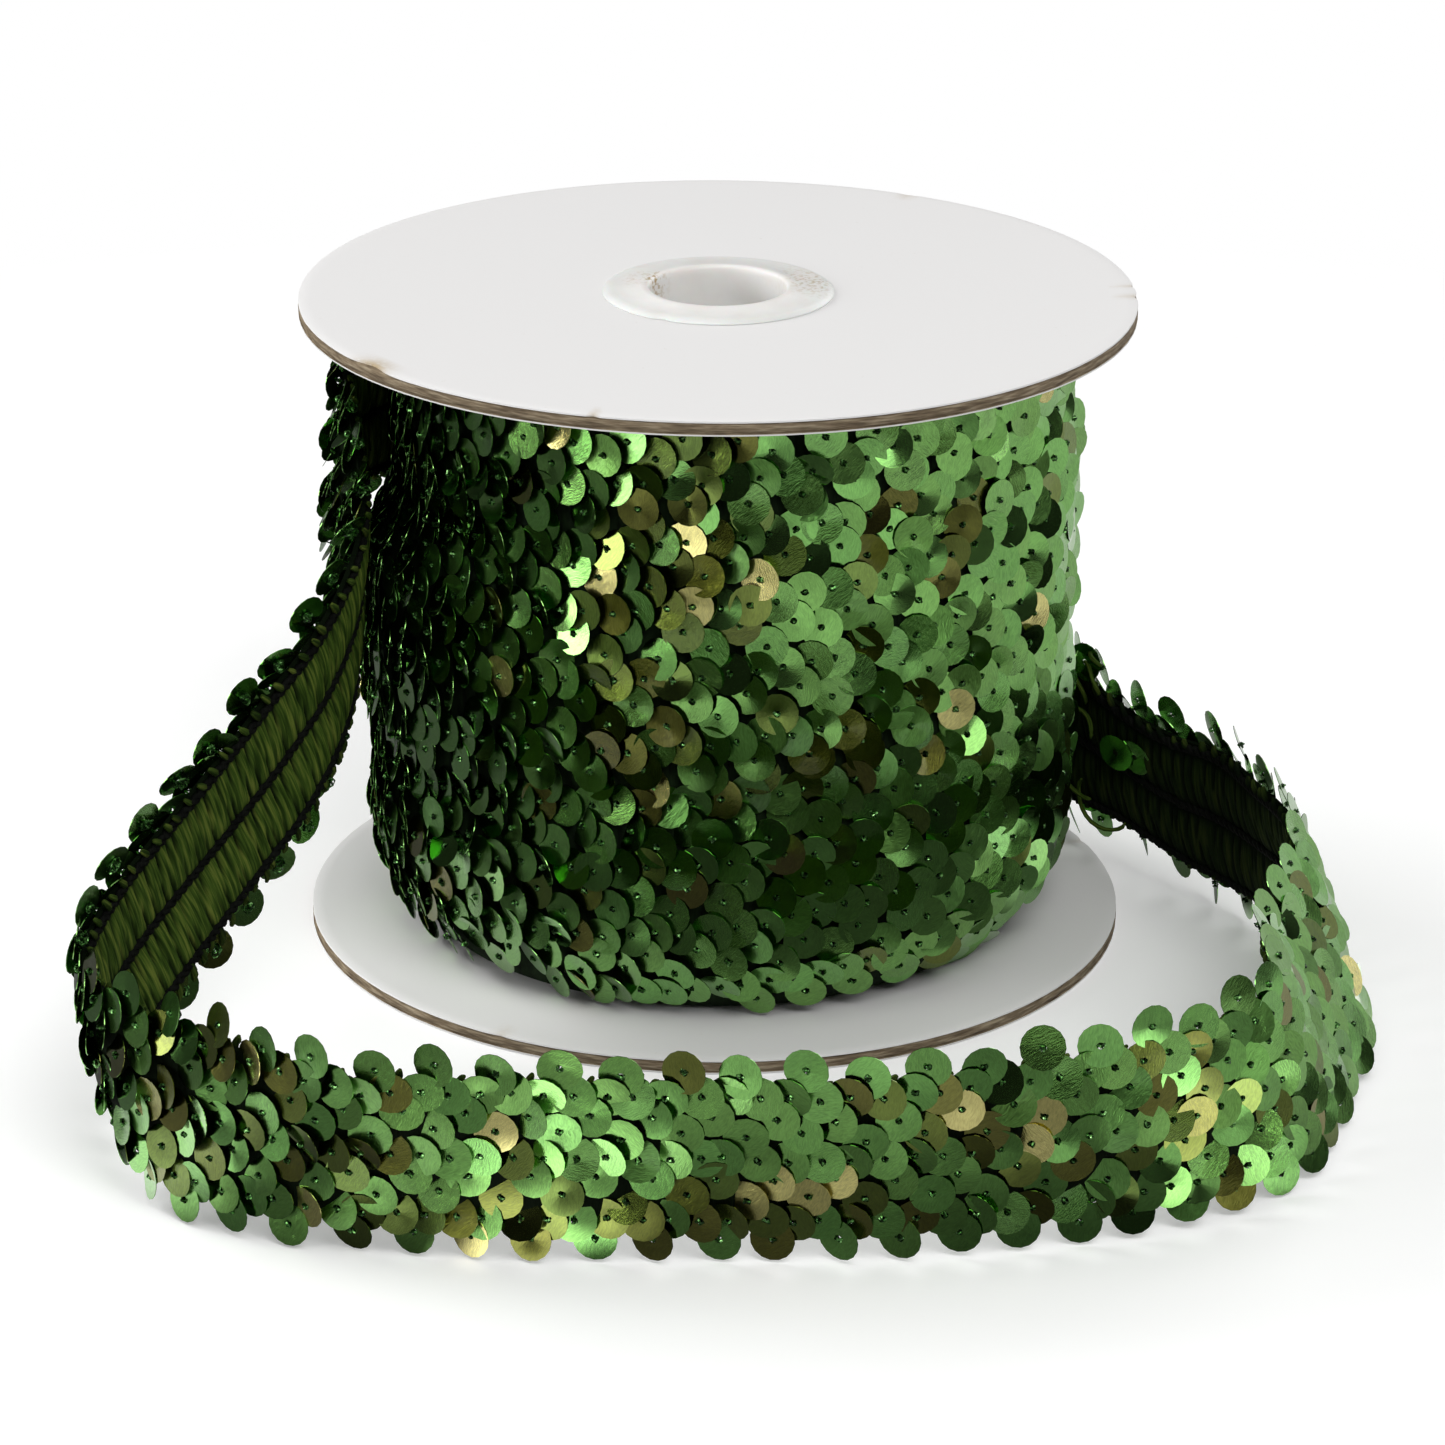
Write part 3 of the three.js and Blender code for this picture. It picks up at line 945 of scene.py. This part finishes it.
# Each strand is a path in the sequin's own plane and direction, shaken by a random jitter.
def makeKnots(name, centre, front, normal, rng):
    count = len(centre)
    side = np.cross(normal, front)
    paths = []
    references = []
    for sign in (-1, 1):
        jitter = [rng.normal(0, spread, (count, 5)) for spread in knot["spread"]]
        x = np.array(knot["pathX"]) + jitter[0]
        y = sign * knot["apart"] * np.array(knot["pathY"]) + jitter[1]
        z = np.array(knot["pathZ"]) + jitter[2]
        paths.append(centre[:, None] + x[..., None] * front[:, None] + y[..., None] * side[:, None]
                     + z[..., None] * normal[:, None])
        references.append(np.repeat(side[:, None], 5, axis=1))
    paths = np.concatenate(paths)
    radius = np.full(paths.shape[:2], knot["radius"]) * rng.uniform(0.8, 1.2, (len(paths), 1))
    points, faces = strandMesh(paths, radius, np.concatenate(references))
    piece = newPiece(name, points, faces, [finish["knot"]], sharpAngle=80)
    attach(piece, "root")
    return piece


# Lifts or lowers each sequin so that it stays between two heights.
def keepBetween(centre, normal, low, high):
    reach = sequin["radius"] * np.sqrt(1 - np.clip(normal[:, 2] ** 2, 0, 1)) + 0.25
    z = np.clip(centre[:, 2], low + reach, high - reach)
    return np.concatenate([centre[:, :2], z[:, None]], axis=1)


# The sequins of the winding: the three bands of each lap, and a deeper fourth in the gap to the next.
wound = {
    "out": -0.9,
    "outSpread": 0.15,
    "gapBand": 18.9,
    "gapReach": 1.2,
    "gapOut": -1.9,
    "endMargin": 1.6,
    "splitAt": 47,
    "goldPerDegree": 0.9,
    "low": 2.35,
    "high": 93.0,
}


# The pattern's places are laid on the winding, and each sequin is tilted in its own directions there.
def makeWoundSequins():
    rng = np.random.default_rng(21)
    start = (winding["low"] - winding["lapLow"] - winding["pitch"]) / lapSin
    end = (winding["high"] - winding["lapLow"]) / lapSin
    bands = (*trim["bandAt"], wound["gapBand"])
    along, across, turn = trimPattern(start, end, bands, rng)
    out = wound["out"] + rng.normal(0, wound["outSpread"], len(along))
    gapFrom = wound["gapBand"] - trim["waveHigh"] - wound["gapReach"]
    out = np.where(across > gapFrom, wound["gapOut"], out)
    centre = rollPoint(along, across, out)
    lowest, highest = winding["low"] + wound["endMargin"], winding["high"] - wound["endMargin"]
    keep = (centre[:, 2] > lowest) & (centre[:, 2] < highest)
    along, across, turn, out, centre = along[keep], across[keep], turn[keep], out[keep], centre[keep]
    ahead, up, outward = trimFrame(rollPoint, along, across, out)
    front, normal = tiltSequins(ahead, up, outward, turn, rng)
    centre = keepBetween(centre, normal, wound["low"], wound["high"])
    angle = np.degrees(np.arctan2(centre[:, 1], centre[:, 0]))
    film, satin = filmMarks(oliveShare(angle, centre[:, 2], rollOlive, True), rng)
    turnGold(film, angle, centre[:, 2], rollGold, wound["goldPerDegree"])
    lower = centre[:, 2] < wound["splitAt"]
    for name, part in (("wound_sequins_low", lower), ("wound_sequins_high", ~lower)):
        makeSequins(name, centre[part], front[part], normal[part], film[part], satin[part], rng)
    makeKnots("wound_knots", centre, front, normal, rng)
    print(f"wound sequins: {len(centre)}")


makeWoundSequins()
print("stage: wound sequins made")


# The cloth of the loose end, seen from behind: two gathered bands between three stitched lines.
cloth = {
    "half": 10.9,
    "before": 6,
    "step": 0.25,
    "backColumns": 35,
    "frontColumns": 7,
    "front": 0.35,
    "back": 0.35,
    "bulge": 1.05,
    "lineAt": (-10.0, 0.0, 10.0),
    "band": 10,
    "slitEvery": 2.4,
    "slitHalf": 0.26,
    "slitDeep": 1.0,
    "lumpDeep": 0.16,
    "curve": 0.020,
    # towards the cut end the cloth is darkened, a painted shade: how much, from and to which distance
    "endShadeMost": 0.82,
    "endShadeFrom": 325,
    "endShadeTo": 385,
}


# A row of soft notches at random places along the cloth, as a curve over the distance along it.
def notchCurve(distance, rng):
    total = np.zeros_like(distance)
    count = int((distance[-1] - distance[0]) / cloth["slitEvery"])
    places = distance[0] + (np.arange(count) + rng.uniform(-0.35, 0.35, count)) * cloth["slitEvery"]
    for place, share in zip(places, rng.uniform(0.35, 1, count)):
        total = np.maximum(total, share * bell(distance - place, cloth["slitHalf"]))
    return total


# Depth of the gathered face behind the cloth: each band bulges, and slits run into it from both lines.
# Its second value is painted shade for the depth mark.
def gatheredDepth(along, across, rng):
    fine = np.arange(along.min() - 4, along.max() + 4, 0.05)
    depth = np.zeros_like(along)
    dark = np.zeros_like(along)
    for side in (-1, 1):
        into = (across * side) / cloth["band"]
        inside = (into > 0) & (into < 1)
        crown = np.sqrt(np.clip(1 - (2 * into - 1) ** 2, 0, 1))
        bent = along + cloth["curve"] * (cloth["band"] * (into - 0.5)) ** 2
        fromLine = notchCurve(fine, rng)
        fromEdge = notchCurve(fine, rng)
        slit = np.interp(bent, fine, fromLine) * (1 - ease(into, 0.15, 0.6))
        slit += np.interp(bent, fine, fromEdge) * ease(into, 0.4, 0.85)
        lump = np.interp(bent + 0.8, fine, wander(fine * 9, rng, (17, 31, 47, 83)))
        band = cloth["bulge"] * crown + cloth["lumpDeep"] * lump * crown - cloth["slitDeep"] * slit * crown
        depth += np.where(inside, band, 0)
        # Painted shade: dark in the slits and where the band curves in towards its lines.
        dark += np.where(inside, np.clip(slit * 1.6, 0, 1) + 0.7 * (1 - crown) ** 1.5, 0)
    # Painted shade towards the cut end; beyond the outer lines the cloth is fully dark.
    shade = cloth["endShadeMost"] * ease(along, cloth["endShadeFrom"], cloth["endShadeTo"])
    return depth, np.clip(dark + (np.abs(across) > cloth["band"]) + shade, 0, 1)


# A closed tube round the strip, over along and across: a flat front, and a back that stands out by the
# gathered depth.
def makeTailCloth():
    rng = np.random.default_rng(31)
    count = int((tailLength + cloth["before"]) / cloth["step"])
    along = np.linspace(-cloth["before"], tailLength, count)
    backAcross = np.linspace(-cloth["half"], cloth["half"], cloth["backColumns"])
    frontAcross = np.linspace(cloth["half"], -cloth["half"], cloth["frontColumns"])
    s, v = np.meshgrid(along, backAcross, indexing="ij")
    depth, dark = gatheredDepth(s, v, rng)
    back = tailPoint(s, v, -cloth["back"] - depth)
    s2, v2 = np.meshgrid(along, frontAcross, indexing="ij")
    front = tailPoint(s2, v2, np.full_like(s2, cloth["front"]))
    points = np.concatenate([back, front], axis=1)
    columns = points.shape[1]
    faces = gridFaces(count, columns, closedColumns=True)[:, ::-1].tolist()
    firstCap = list(range(columns))
    lastCap = [corner + (count - 1) * columns for corner in reversed(firstCap)]
    uv = np.stack([np.concatenate([s, s2], axis=1), np.concatenate([v, v2], axis=1)], axis=-1) * mm
    # The depth mark carries the painted shade of the gathers; the front under the sequins takes the darkest
    # tone all over.
    marks = {"depth": np.concatenate([dark, np.ones_like(s2)], axis=1)}
    piece = newPiece("tail_cloth", points, faces + [firstCap, lastCap], [finish["gathered"]],
                     uv=uv, marks=marks, sharpAngle=70)
    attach(piece, "root")
    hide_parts("tail")
    return piece


tailCloth = makeTailCloth()


# The three lines of black chain stitch: two strands that cross each other along each line.
stitch = {
    "radius": 0.42,
    "apart": 0.40,
    "wave": 2.7,
    "cross": 0.16,
    "before": 4,
    "step": 0.34,
    "behind": 0.75,
}


# Two sine waves of opposite sign along each line, half of a turn apart in depth.
def makeStitches():
    count = int((tailLength + stitch["before"]) / stitch["step"])
    along = np.linspace(-stitch["before"], tailLength, count)
    paths = []
    for line in cloth["lineAt"]:
        for sign in (-1, 1):
            phase = 2 * math.pi * along / stitch["wave"] + (line * 0.7)
            across = line + sign * stitch["apart"] * np.sin(phase)
            out = -stitch["behind"] - stitch["cross"] * sign * np.cos(phase)
            paths.append(tailPoint(along, across, out))
    paths = np.array(paths)
    radius = np.full(paths.shape[:2], stitch["radius"])
    outward = trimFrame(tailPoint, along, 0 * along, 0 * along)[2]
    points, faces = strandMesh(paths, radius, np.repeat(outward[None], len(paths), axis=0), sides=6)
    piece = newPiece("tail_stitches", points, faces, [finish["stitch"]], sharpAngle=80)
    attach(piece, "root")
    return piece


tailStitches = makeStitches()


# The sequins of the loose end. Near the roll they flare out more, and crumpled thread backs those
# that lie further than edgeAt from the middle.
loose = {
    "before": 4,
    "after": 1,
    "edgeAt": 12.2,
    "out": 0.95,
    "outSpread": 0.12,
    "flare": 16.0,
    "flareFrom": 62.0,
    "flareTo": 30.0,
    # where the lower rows are pushed out by the surface: along, spread, degrees
    "curls": [(150.0, 12.0, 12.0), (200.0, 16.0, 22.0), (285.0, 18.0, 20.0)],
    "curlRows": (-6, 11),
    "low": 0.08,
    "high": 92.6,
}


# The pattern's places are laid on the loose end, and each sequin is tilted in its own directions there.
def makeTailSequins():
    rng = np.random.default_rng(22)
    last = tailLength - loose["after"]
    along, across, turn = trimPattern(-loose["before"], last, trim["bandAt"], rng)
    out = loose["out"] + rng.normal(0, loose["outSpread"], len(along))
    centre = tailPoint(along, across, out)
    ahead, up, outward = trimFrame(tailPoint, along, across, out)
    flare = loose["flare"] * ease(-along, -loose["flareFrom"], -loose["flareTo"])
    front, normal = tiltSequins(ahead, up, outward, turn, rng, flare)
    curl = sum(most * bell(along - at, wide) for at, wide, most in loose["curls"])
    curl = curl * ease(-across, *loose["curlRows"]) * rng.uniform(0.3, 1.3, len(along))
    curl = np.radians(curl)[:, None]
    normal = unit(normal * np.cos(curl) + up * np.sin(curl))
    front = unit(front - normal * (front * normal).sum(axis=1, keepdims=True))
    centre = keepBetween(centre, normal, loose["low"], loose["high"])
    film, satin = filmMarks(oliveShare(along, across, tailOlive, False), rng)
    turnGold(film, along, across, tailGold, 1.0)
    plates = makeSequins("tail_sequins", centre, front, normal, film, satin, rng)
    knots = makeKnots("tail_knots", centre, front, normal, rng)
    print(f"tail sequins: {len(centre)}")
    edge = np.abs(across) > loose["edgeAt"]
    return plates, knots, (along[edge], centre[edge], normal[edge])


tailSequins, tailKnots, edgeRow = makeTailSequins()


# Behind each sequin of the outer rows the shiny thread is crumpled into a small ball.
crumple = {
    "strands": 10,
    "points": 7,
    "ball": 0.66,
    "ballSpread": 0.16,
    "radius": 0.13,
    "sweep": (2.4, 4.4),
    "behind": 0.55,
    "clear": 0.25,
    "until": 345.0,
}


# Each strand is an arc of a circle of random size and direction about a point behind its sequin.
def makeCrumpledThread():
    rng = np.random.default_rng(41)
    along, centre, normal = edgeRow
    backed = along < crumple["until"]
    centre, normal = centre[backed], normal[backed]
    count = len(centre)
    middle = centre - normal * crumple["behind"]
    paths = []
    references = []
    turn = np.linspace(0, 1, crumple["points"])
    for strandIndex in range(crumple["strands"]):
        pole = unit(rng.normal(0, 1, (count, 3)))
        first = unit(np.cross(pole, rng.normal(0, 1, (count, 3))))
        second = np.cross(pole, first)
        sweep = rng.uniform(*crumple["sweep"], (count, 1)) * turn
        ball = rng.normal(crumple["ball"], crumple["ballSpread"], (count, 1)) * (1 + 0.3 * np.sin(5 * turn))
        arc = np.cos(sweep)[..., None] * first[:, None] + np.sin(sweep)[..., None] * second[:, None]
        around = middle[:, None] + arc * ball[..., None]
        depth = ((around - centre[:, None]) * normal[:, None]).sum(axis=-1, keepdims=True)
        around -= normal[:, None] * np.maximum(depth + crumple["clear"], 0)
        paths.append(around)
        references.append(np.repeat(pole[:, None], crumple["points"], axis=1))
    paths = np.concatenate(paths)
    paths[..., 2] = np.maximum(paths[..., 2], crumple["clear"])
    radius = np.full(paths.shape[:2], crumple["radius"])
    points, faces = strandMesh(paths, radius, np.concatenate(references))
    piece = newPiece("tail_edge_threads", points, faces, [finish["knot"]], sharpAngle=80)
    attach(piece, "root")
    return piece


edgeThreads = makeCrumpledThread()


# Outside both outer lines the gathering thread comes out in a row of small plump loops.
edgeLoop = {
    "every": 2.7,
    "from": 10.0,
    "long": 2.2,
    # near the cut end the lower loops are shorter: by how much, from and to where
    "shorter": 0.6,
    "shorterFrom": 320,
    "shorterTo": 350,
    "points": 6,
    "radius": 0.55,
    "behind": 0.55,
    "arch": 0.35,
    "slant": 0.9,
    "lowest": 0.75,
}


# Each loop runs straight out across the strip, slants a little along it and arches half a sine wave.
def makeEdgeLoops():
    rng = np.random.default_rng(42)
    count = int(tailLength / edgeLoop["every"])
    start = (np.arange(count) + 0.5) * edgeLoop["every"] + rng.normal(0, 0.5, count)
    share = np.linspace(0, 1, edgeLoop["points"])
    paths = []
    for side in (-1, 1):
        long = edgeLoop["long"] * rng.uniform(0.6, 1.15, (count, 1))
        shorter = ease(start, edgeLoop["shorterFrom"], edgeLoop["shorterTo"])[:, None] * (side < 0)
        long = long * (1 - edgeLoop["shorter"] * shorter)
        along = start[:, None] + edgeLoop["slant"] * share * rng.uniform(0.6, 1.4, (count, 1))
        across = side * (edgeLoop["from"] + long * share)
        arch = edgeLoop["arch"] * np.sin(math.pi * share)
        out = -edgeLoop["behind"] - arch + rng.normal(0, 0.08, (count, 1))
        paths.append(tailPoint(along, across, out))
    paths = np.concatenate(paths)
    paths[..., 2] = np.maximum(paths[..., 2], edgeLoop["lowest"])
    plump = edgeLoop["radius"] * (0.45 + 0.55 * np.sin(math.pi * (0.1 + 0.85 * share)))
    radius = plump * rng.uniform(0.8, 1.15, (len(paths), 1))
    reference = np.broadcast_to(np.array([0.3, 0.2, 1.0]), paths.shape)
    points, faces = strandMesh(paths, radius, reference, sides=6)
    strand = np.arange(len(paths))[:, None, None] * 0.0031
    u = strand + np.arange(6)[None, None, :] * 0.0005 + 0 * share[None, :, None]
    v = strand * 3 + share[None, :, None] * 0.002 + 0 * u
    # The depth mark of each loop: a random dark tone, with painted shade towards the cut end and where the
    # loop comes out of the cloth.
    endShade = ease(start, cloth["endShadeFrom"], cloth["endShadeTo"])
    shade = np.tile(rng.uniform(0.1, 0.5, count) + 0.4 * endShade, 2)
    marks = {"depth": np.clip(shade[:, None, None] + 0.5 * (1 - share)[None, :, None] + 0 * u, 0, 1)}
    piece = newPiece("tail_edge_loops", points, faces, [finish["gathered"]],
                     uv=np.stack([u, v], axis=-1), marks=marks, sharpAngle=80)
    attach(piece, "root")
    return piece


edgeLoops = makeEdgeLoops()


# The cut end: sequins that have folded back over the cloth, and ravelled yarn.
cutEnd = {
    # how far before the end, across, how far behind the cloth, turn about the strip, tip up
    "folded": [(4.5, 13.5, 1.4, -38, 18), (1.2, 11.0, 2.0, -60, 30), (7.5, 14.6, 1.0, 24, 10),
               (0.6, 6.5, 2.6, -66, -6), (2.4, 2.5, 3.2, -72, 12), (14.6, 3.6, 2.3, 10, 4),
               (18.2, 4.4, 1.5, 4, -3), (1.0, -7.5, 2.2, -58, -10), (2.6, -12.6, 1.8, -40, -20)],
    # how far before the end, across, radius, from angle, to angle, how far behind the cloth
    "arcs": [(9.0, -8.0, 5.0, 200, 400, 2.4), (6.0, 4.0, 3.4, 20, 190, 2.6),
             (8.0, 12.0, 3.0, 60, 250, 1.2), (5.0, -3.0, 6.0, 240, 350, 3.0),
             (3.0, 9.0, 4.5, 80, 200, 2.2), (10.0, 15.0, 2.2, 0, 150, 0.6)],
    "arcPoints": 14,
    "yarn": 0.34,
    "yarnPast": 1.5,
    "lowest": 0.5,
}


# The plates are set behind the cloth and turned about the strip, and the yarn goes in flat arcs there.
def makeCutEnd():
    rng = np.random.default_rng(43)
    before, across, behind, turn, tip = np.array(cutEnd["folded"]).T
    along = tailLength - before
    ahead, up, outward = trimFrame(tailPoint, along, across, -behind)
    centre = tailPoint(along, across, -behind)
    turn, tip = np.radians(turn)[:, None], np.radians(tip)[:, None]
    normal = unit(-(np.cos(turn) * outward + np.sin(turn) * ahead) * np.cos(tip) + np.sin(tip) * up)
    front = unit(np.cross(up, normal))
    centre = keepBetween(centre, normal, loose["low"], loose["high"])
    film, satin = rng.uniform(0, 0.12, len(centre)), rng.uniform(0, 0.3, len(centre))
    plates = makeSequins("tail_end_sequins", centre, front, normal, film, satin, rng)
    paths = []
    for before, middle, size, fromAngle, toAngle, behind in cutEnd["arcs"]:
        a = np.radians(np.linspace(fromAngle, toAngle, cutEnd["arcPoints"]))
        along = tailLength - before + size * np.cos(a)
        across = middle + size * np.sin(a) * 0.8
        depth = behind + 0.5 * np.sin(2.3 * a + before)
        along = np.minimum(along, tailLength + cutEnd["yarnPast"])
        paths.append(tailPoint(along, across, -depth))
    paths = np.array(paths)
    paths[..., 2] = np.maximum(paths[..., 2], cutEnd["lowest"])
    radius = np.full(paths.shape[:2], cutEnd["yarn"])
    radius[:, [0, -1]] *= 0.5
    reference = np.broadcast_to(np.array([0.2, 0.3, 1.0]), paths.shape)
    points, faces = strandMesh(paths, radius, reference, sides=6)
    turnShare = np.linspace(0, 0.01, cutEnd["arcPoints"])
    u = np.broadcast_to(np.arange(6) * 0.0005, (len(paths), cutEnd["arcPoints"], 6))
    v = np.broadcast_to(turnShare[None, :, None], u.shape)
    yarn = newPiece("tail_end_yarn", points, faces, [finish["gathered"]],
                    uv=np.stack([u, v], axis=-1), sharpAngle=80)
    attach(yarn, "root")
    return plates, yarn


endSequins, endYarn = makeCutEnd()
print("stage: loose end made")


# The camera stands where the photograph was taken from.
view = {
    "at": (-3.60, -682.95, 308.54),
    "pitch": 21.354,
    "roll": 0.37,
    "lens": 129.33,
    "sensor": 36.0,
}


def makeCamera():
    data = bpy.data.cameras.new("camera")
    data.lens = view["lens"]
    data.sensor_width = view["sensor"]
    camera = bpy.data.objects.new("camera", data)
    bpy.context.scene.collection.objects.link(camera)
    place = Matrix.Translation([value * mm for value in view["at"]])
    pitch = Matrix.Rotation(math.radians(90 - view["pitch"]), 4, "X")
    roll = Matrix.Rotation(math.radians(view["roll"]), 4, "Z")
    camera.matrix_world = place @ pitch @ roll
    bpy.context.scene.camera = camera


makeCamera()

# Soft lights round the object: azimuth from the front, positive to the right, height over the floor
# in degrees, distance, width and height in millimetres, radiance, and whether the sequins mirror it.
lamps = {
    "leftBox": (-70, 12, 900, 520, 340, 6.5, True),
    "rightBox": (50, 13, 1000, 300, 300, 2.6, True),
    "frontBox": (26, 48, 1100, 700, 500, 5.0, True),
    "topBox": (-20, 80, 1000, 900, 900, 0.9, True),
    "backBox": (150, 30, 1100, 600, 420, 2.4, True),
    "sideBox": (-118, 34, 1100, 420, 300, 2.0, True),
    "rearBox": (132, 12, 1000, 1100, 560, 0.8, True),
    "sideFill": (-112, 30, 1100, 600, 500, 6.0, False),
}


def makeLamp(name, azimuth, elevation, distance, wide, high, radiance, mirrored):
    data = bpy.data.lights.new(name, "AREA")
    data.shape = "RECTANGLE"
    data.size = wide * mm
    data.size_y = high * mm
    data.energy = radiance * math.pi * data.size * data.size_y
    lamp = bpy.data.objects.new(name, data)
    lamp.visible_glossy = mirrored
    bpy.context.scene.collection.objects.link(lamp)
    a, e = math.radians(azimuth), math.radians(elevation)
    turned = Matrix.Rotation(a, 4, "Z") @ Matrix.Rotation(-e, 4, "X")
    away = turned @ Matrix.Translation((0, -distance * mm, 0))
    lamp.matrix_world = away @ Matrix.Rotation(math.radians(90), 4, "X")


for lampName, lampValues in lamps.items():
    makeLamp(lampName, *lampValues)

# The floor. Its rings are in millimetres about the spool and its patches in millimetres in the frame.
# The distances at which its look changes are in metres from the frame's origin.
floorLook = {
    "sides": 96,
    "rings": (20.0, 120.0, 300.0, 620.0),
    "below": 0.05,
    "rough": 0.75,
    "fadeFrom": 0.16,
    "fadeTo": 0.40,
    "white": (0.93, 0.93, 0.93),
    "bounced": (0.45, 0.45, 0.45),
    # share of the floor's light that the sequins mirror, by the direction from the middle, from the
    # left side at 0 over the front at 0.25 and the right side at 0.5 back to the left side at 1
    "mirroredFar": [(0.0, 0.04), (0.09, 0.04), (0.12, 1.0), (0.145, 0.05), (0.162, 1.2), (0.195, 1.25),
                    (0.212, 0.06), (0.235, 1.2), (0.265, 0.60), (0.30, 0.95), (0.36, 0.95), (0.39, 0.10),
                    (0.42, 0.95), (0.5, 0.95), (0.68, 0.90), (0.76, 0.85), (0.82, 0.15), (1.0, 0.04)],
    "mirroredNear": [(0.0, 0.12), (0.14, 0.16), (0.20, 0.30), (0.235, 0.58), (0.27, 0.58), (0.30, 0.22),
                     (0.37, 0.16), (0.43, 0.60), (0.6, 0.80), (0.76, 0.80), (0.82, 0.15), (1.0, 0.12)],
    "near": 0.13,
    "far": 0.22,
    # close to the loose end the floor that the sequins mirror is dimmed, a painted shadow: from here, to
    # here, at the most
    "paintedShadow": (0.096, 0.120, 0.35),
    # bright patches of the floor that only the sequins mirror: x, y, radius, strength
    "patches": [(-97.0, -66.0, 26.0, 1.6), (-60.0, -98.0, 11.0, 1.3), (-33.0, -99.0, 17.0, 3.4),
                (83.0, -90.0, 25.0, 3.6), (84.0, 6.0, 28.0, 1.6), (-84.0, 18.0, 20.0, 1.0)],
    "patchCore": 0.4,
    "glow": 0.16,
}


# Brightness that the sequins mirror from the floor: a ramp round the middle near it and another one
# far from it, with a soft change between the two, and a painted shadow close to the loose end.
def mirroredFloor(tree, place, distance):
    spread = addNode(tree, "ShaderNodeSeparateXYZ", {0: place}).outputs
    way = calculate(tree, "ARCTAN2", spread["Y"], spread["X"])
    share = mapRange(tree, way, -math.pi, math.pi, 0, 1)
    shades = []
    for label in ("mirroredNear", "mirroredFar"):
        shades.append(colourRamp(tree, share, [(at, (value,) * 3) for at, value in floorLook[label]]))
    farther = mapRange(tree, distance, floorLook["near"], floorLook["far"], 0, 1)
    start, end, dimmest = floorLook["paintedShadow"]
    shadowShare = mapRange(tree, distance, start, end, 1 - dimmest, 0)
    return mixColours(tree, shadowShare, mixColours(tree, farther, *shades), (0, 0, 0))


# Sum of the bright patches: each falls from its strength, up to its core, to 0 at its radius.
def brightPatches(tree, place, mirroring):
    total = 0.0
    for x, y, radius, strength in floorLook["patches"]:
        middle = {0: place, 1: (x * mm, y * mm, 0)}
        apart = addNode(tree, "ShaderNodeVectorMath", middle, operation="DISTANCE").outputs["Value"]
        core = radius * mm * floorLook["patchCore"]
        patch = mapRange(tree, apart, radius * mm, core, 0, strength)
        total = calculate(tree, "ADD", total, patch)
    return mixValues(tree, mirroring, floorLook["glow"], total)


# The pale floor: a round sheet that fades into the white background away from the object.
def makeFloor():
    sides = floorLook["sides"]
    angle = np.arange(sides) / sides * turnDegrees
    rings = np.array(floorLook["rings"])
    height = np.full((len(rings), sides), -floorLook["below"])
    points = turnedPoints(rings[:, None] + 0 * angle, height, angle)
    faces = gridFaces(len(rings), sides, closedColumns=True)[:, ::-1].tolist() + [list(range(sides))]
    material, tree, shader = newMaterial("pale floor")
    place = objectPlace(tree)
    distance = addNode(tree, "ShaderNodeVectorMath", {0: place}, operation="LENGTH").outputs["Value"]
    path = addNode(tree, "ShaderNodeLightPath").outputs
    mirroring = path["Is Glossy Ray"]
    lit = mixColours(tree, path["Is Diffuse Ray"], floorLook["white"], floorLook["bounced"])
    setInputs(shader, {
        "Roughness": floorLook["rough"],
        "Emission Color": (1, 1, 1, 1),
        "Base Color": mixColours(tree, mirroring, lit, mirroredFloor(tree, place, distance)),
        "Emission Strength": brightPatches(tree, place, mirroring),
    })
    fade = mapRange(tree, distance, floorLook["fadeFrom"], floorLook["fadeTo"], 0, 1)
    clear = addNode(tree, "ShaderNodeBsdfTransparent")
    inputs = {0: mixValues(tree, mirroring, fade, 0.0), 1: shader.outputs[0], 2: clear.outputs[0]}
    mix = addNode(tree, "ShaderNodeMixShader", inputs)
    setInputs(tree.nodes["Material Output"], {"Surface": mix.outputs[0]})
    floor = newPiece("pale_floor", points, faces, [material])


makeFloor()

room = {
    "seen": 1.0,
    "fill": 0.16,
    "mirrored": 0.02,
}


# The room: white where the camera sees it, dark where the sequins mirror it.
def makeRoom():
    world = bpy.data.worlds.new("room")
    bpy.context.scene.world = world
    world.use_nodes = True
    tree = world.node_tree
    path = addNode(tree, "ShaderNodeLightPath").outputs
    seen = mixValues(tree, path["Is Camera Ray"], room["fill"], room["seen"])
    level = mixValues(tree, path["Is Glossy Ray"], seen, room["mirrored"])
    setInputs(tree.nodes["Background"], {"Color": (1, 1, 1, 1), "Strength": level})
    bpy.context.scene.view_settings.view_transform = "Standard"


makeRoom()
print("stage: camera, lights and floor made")
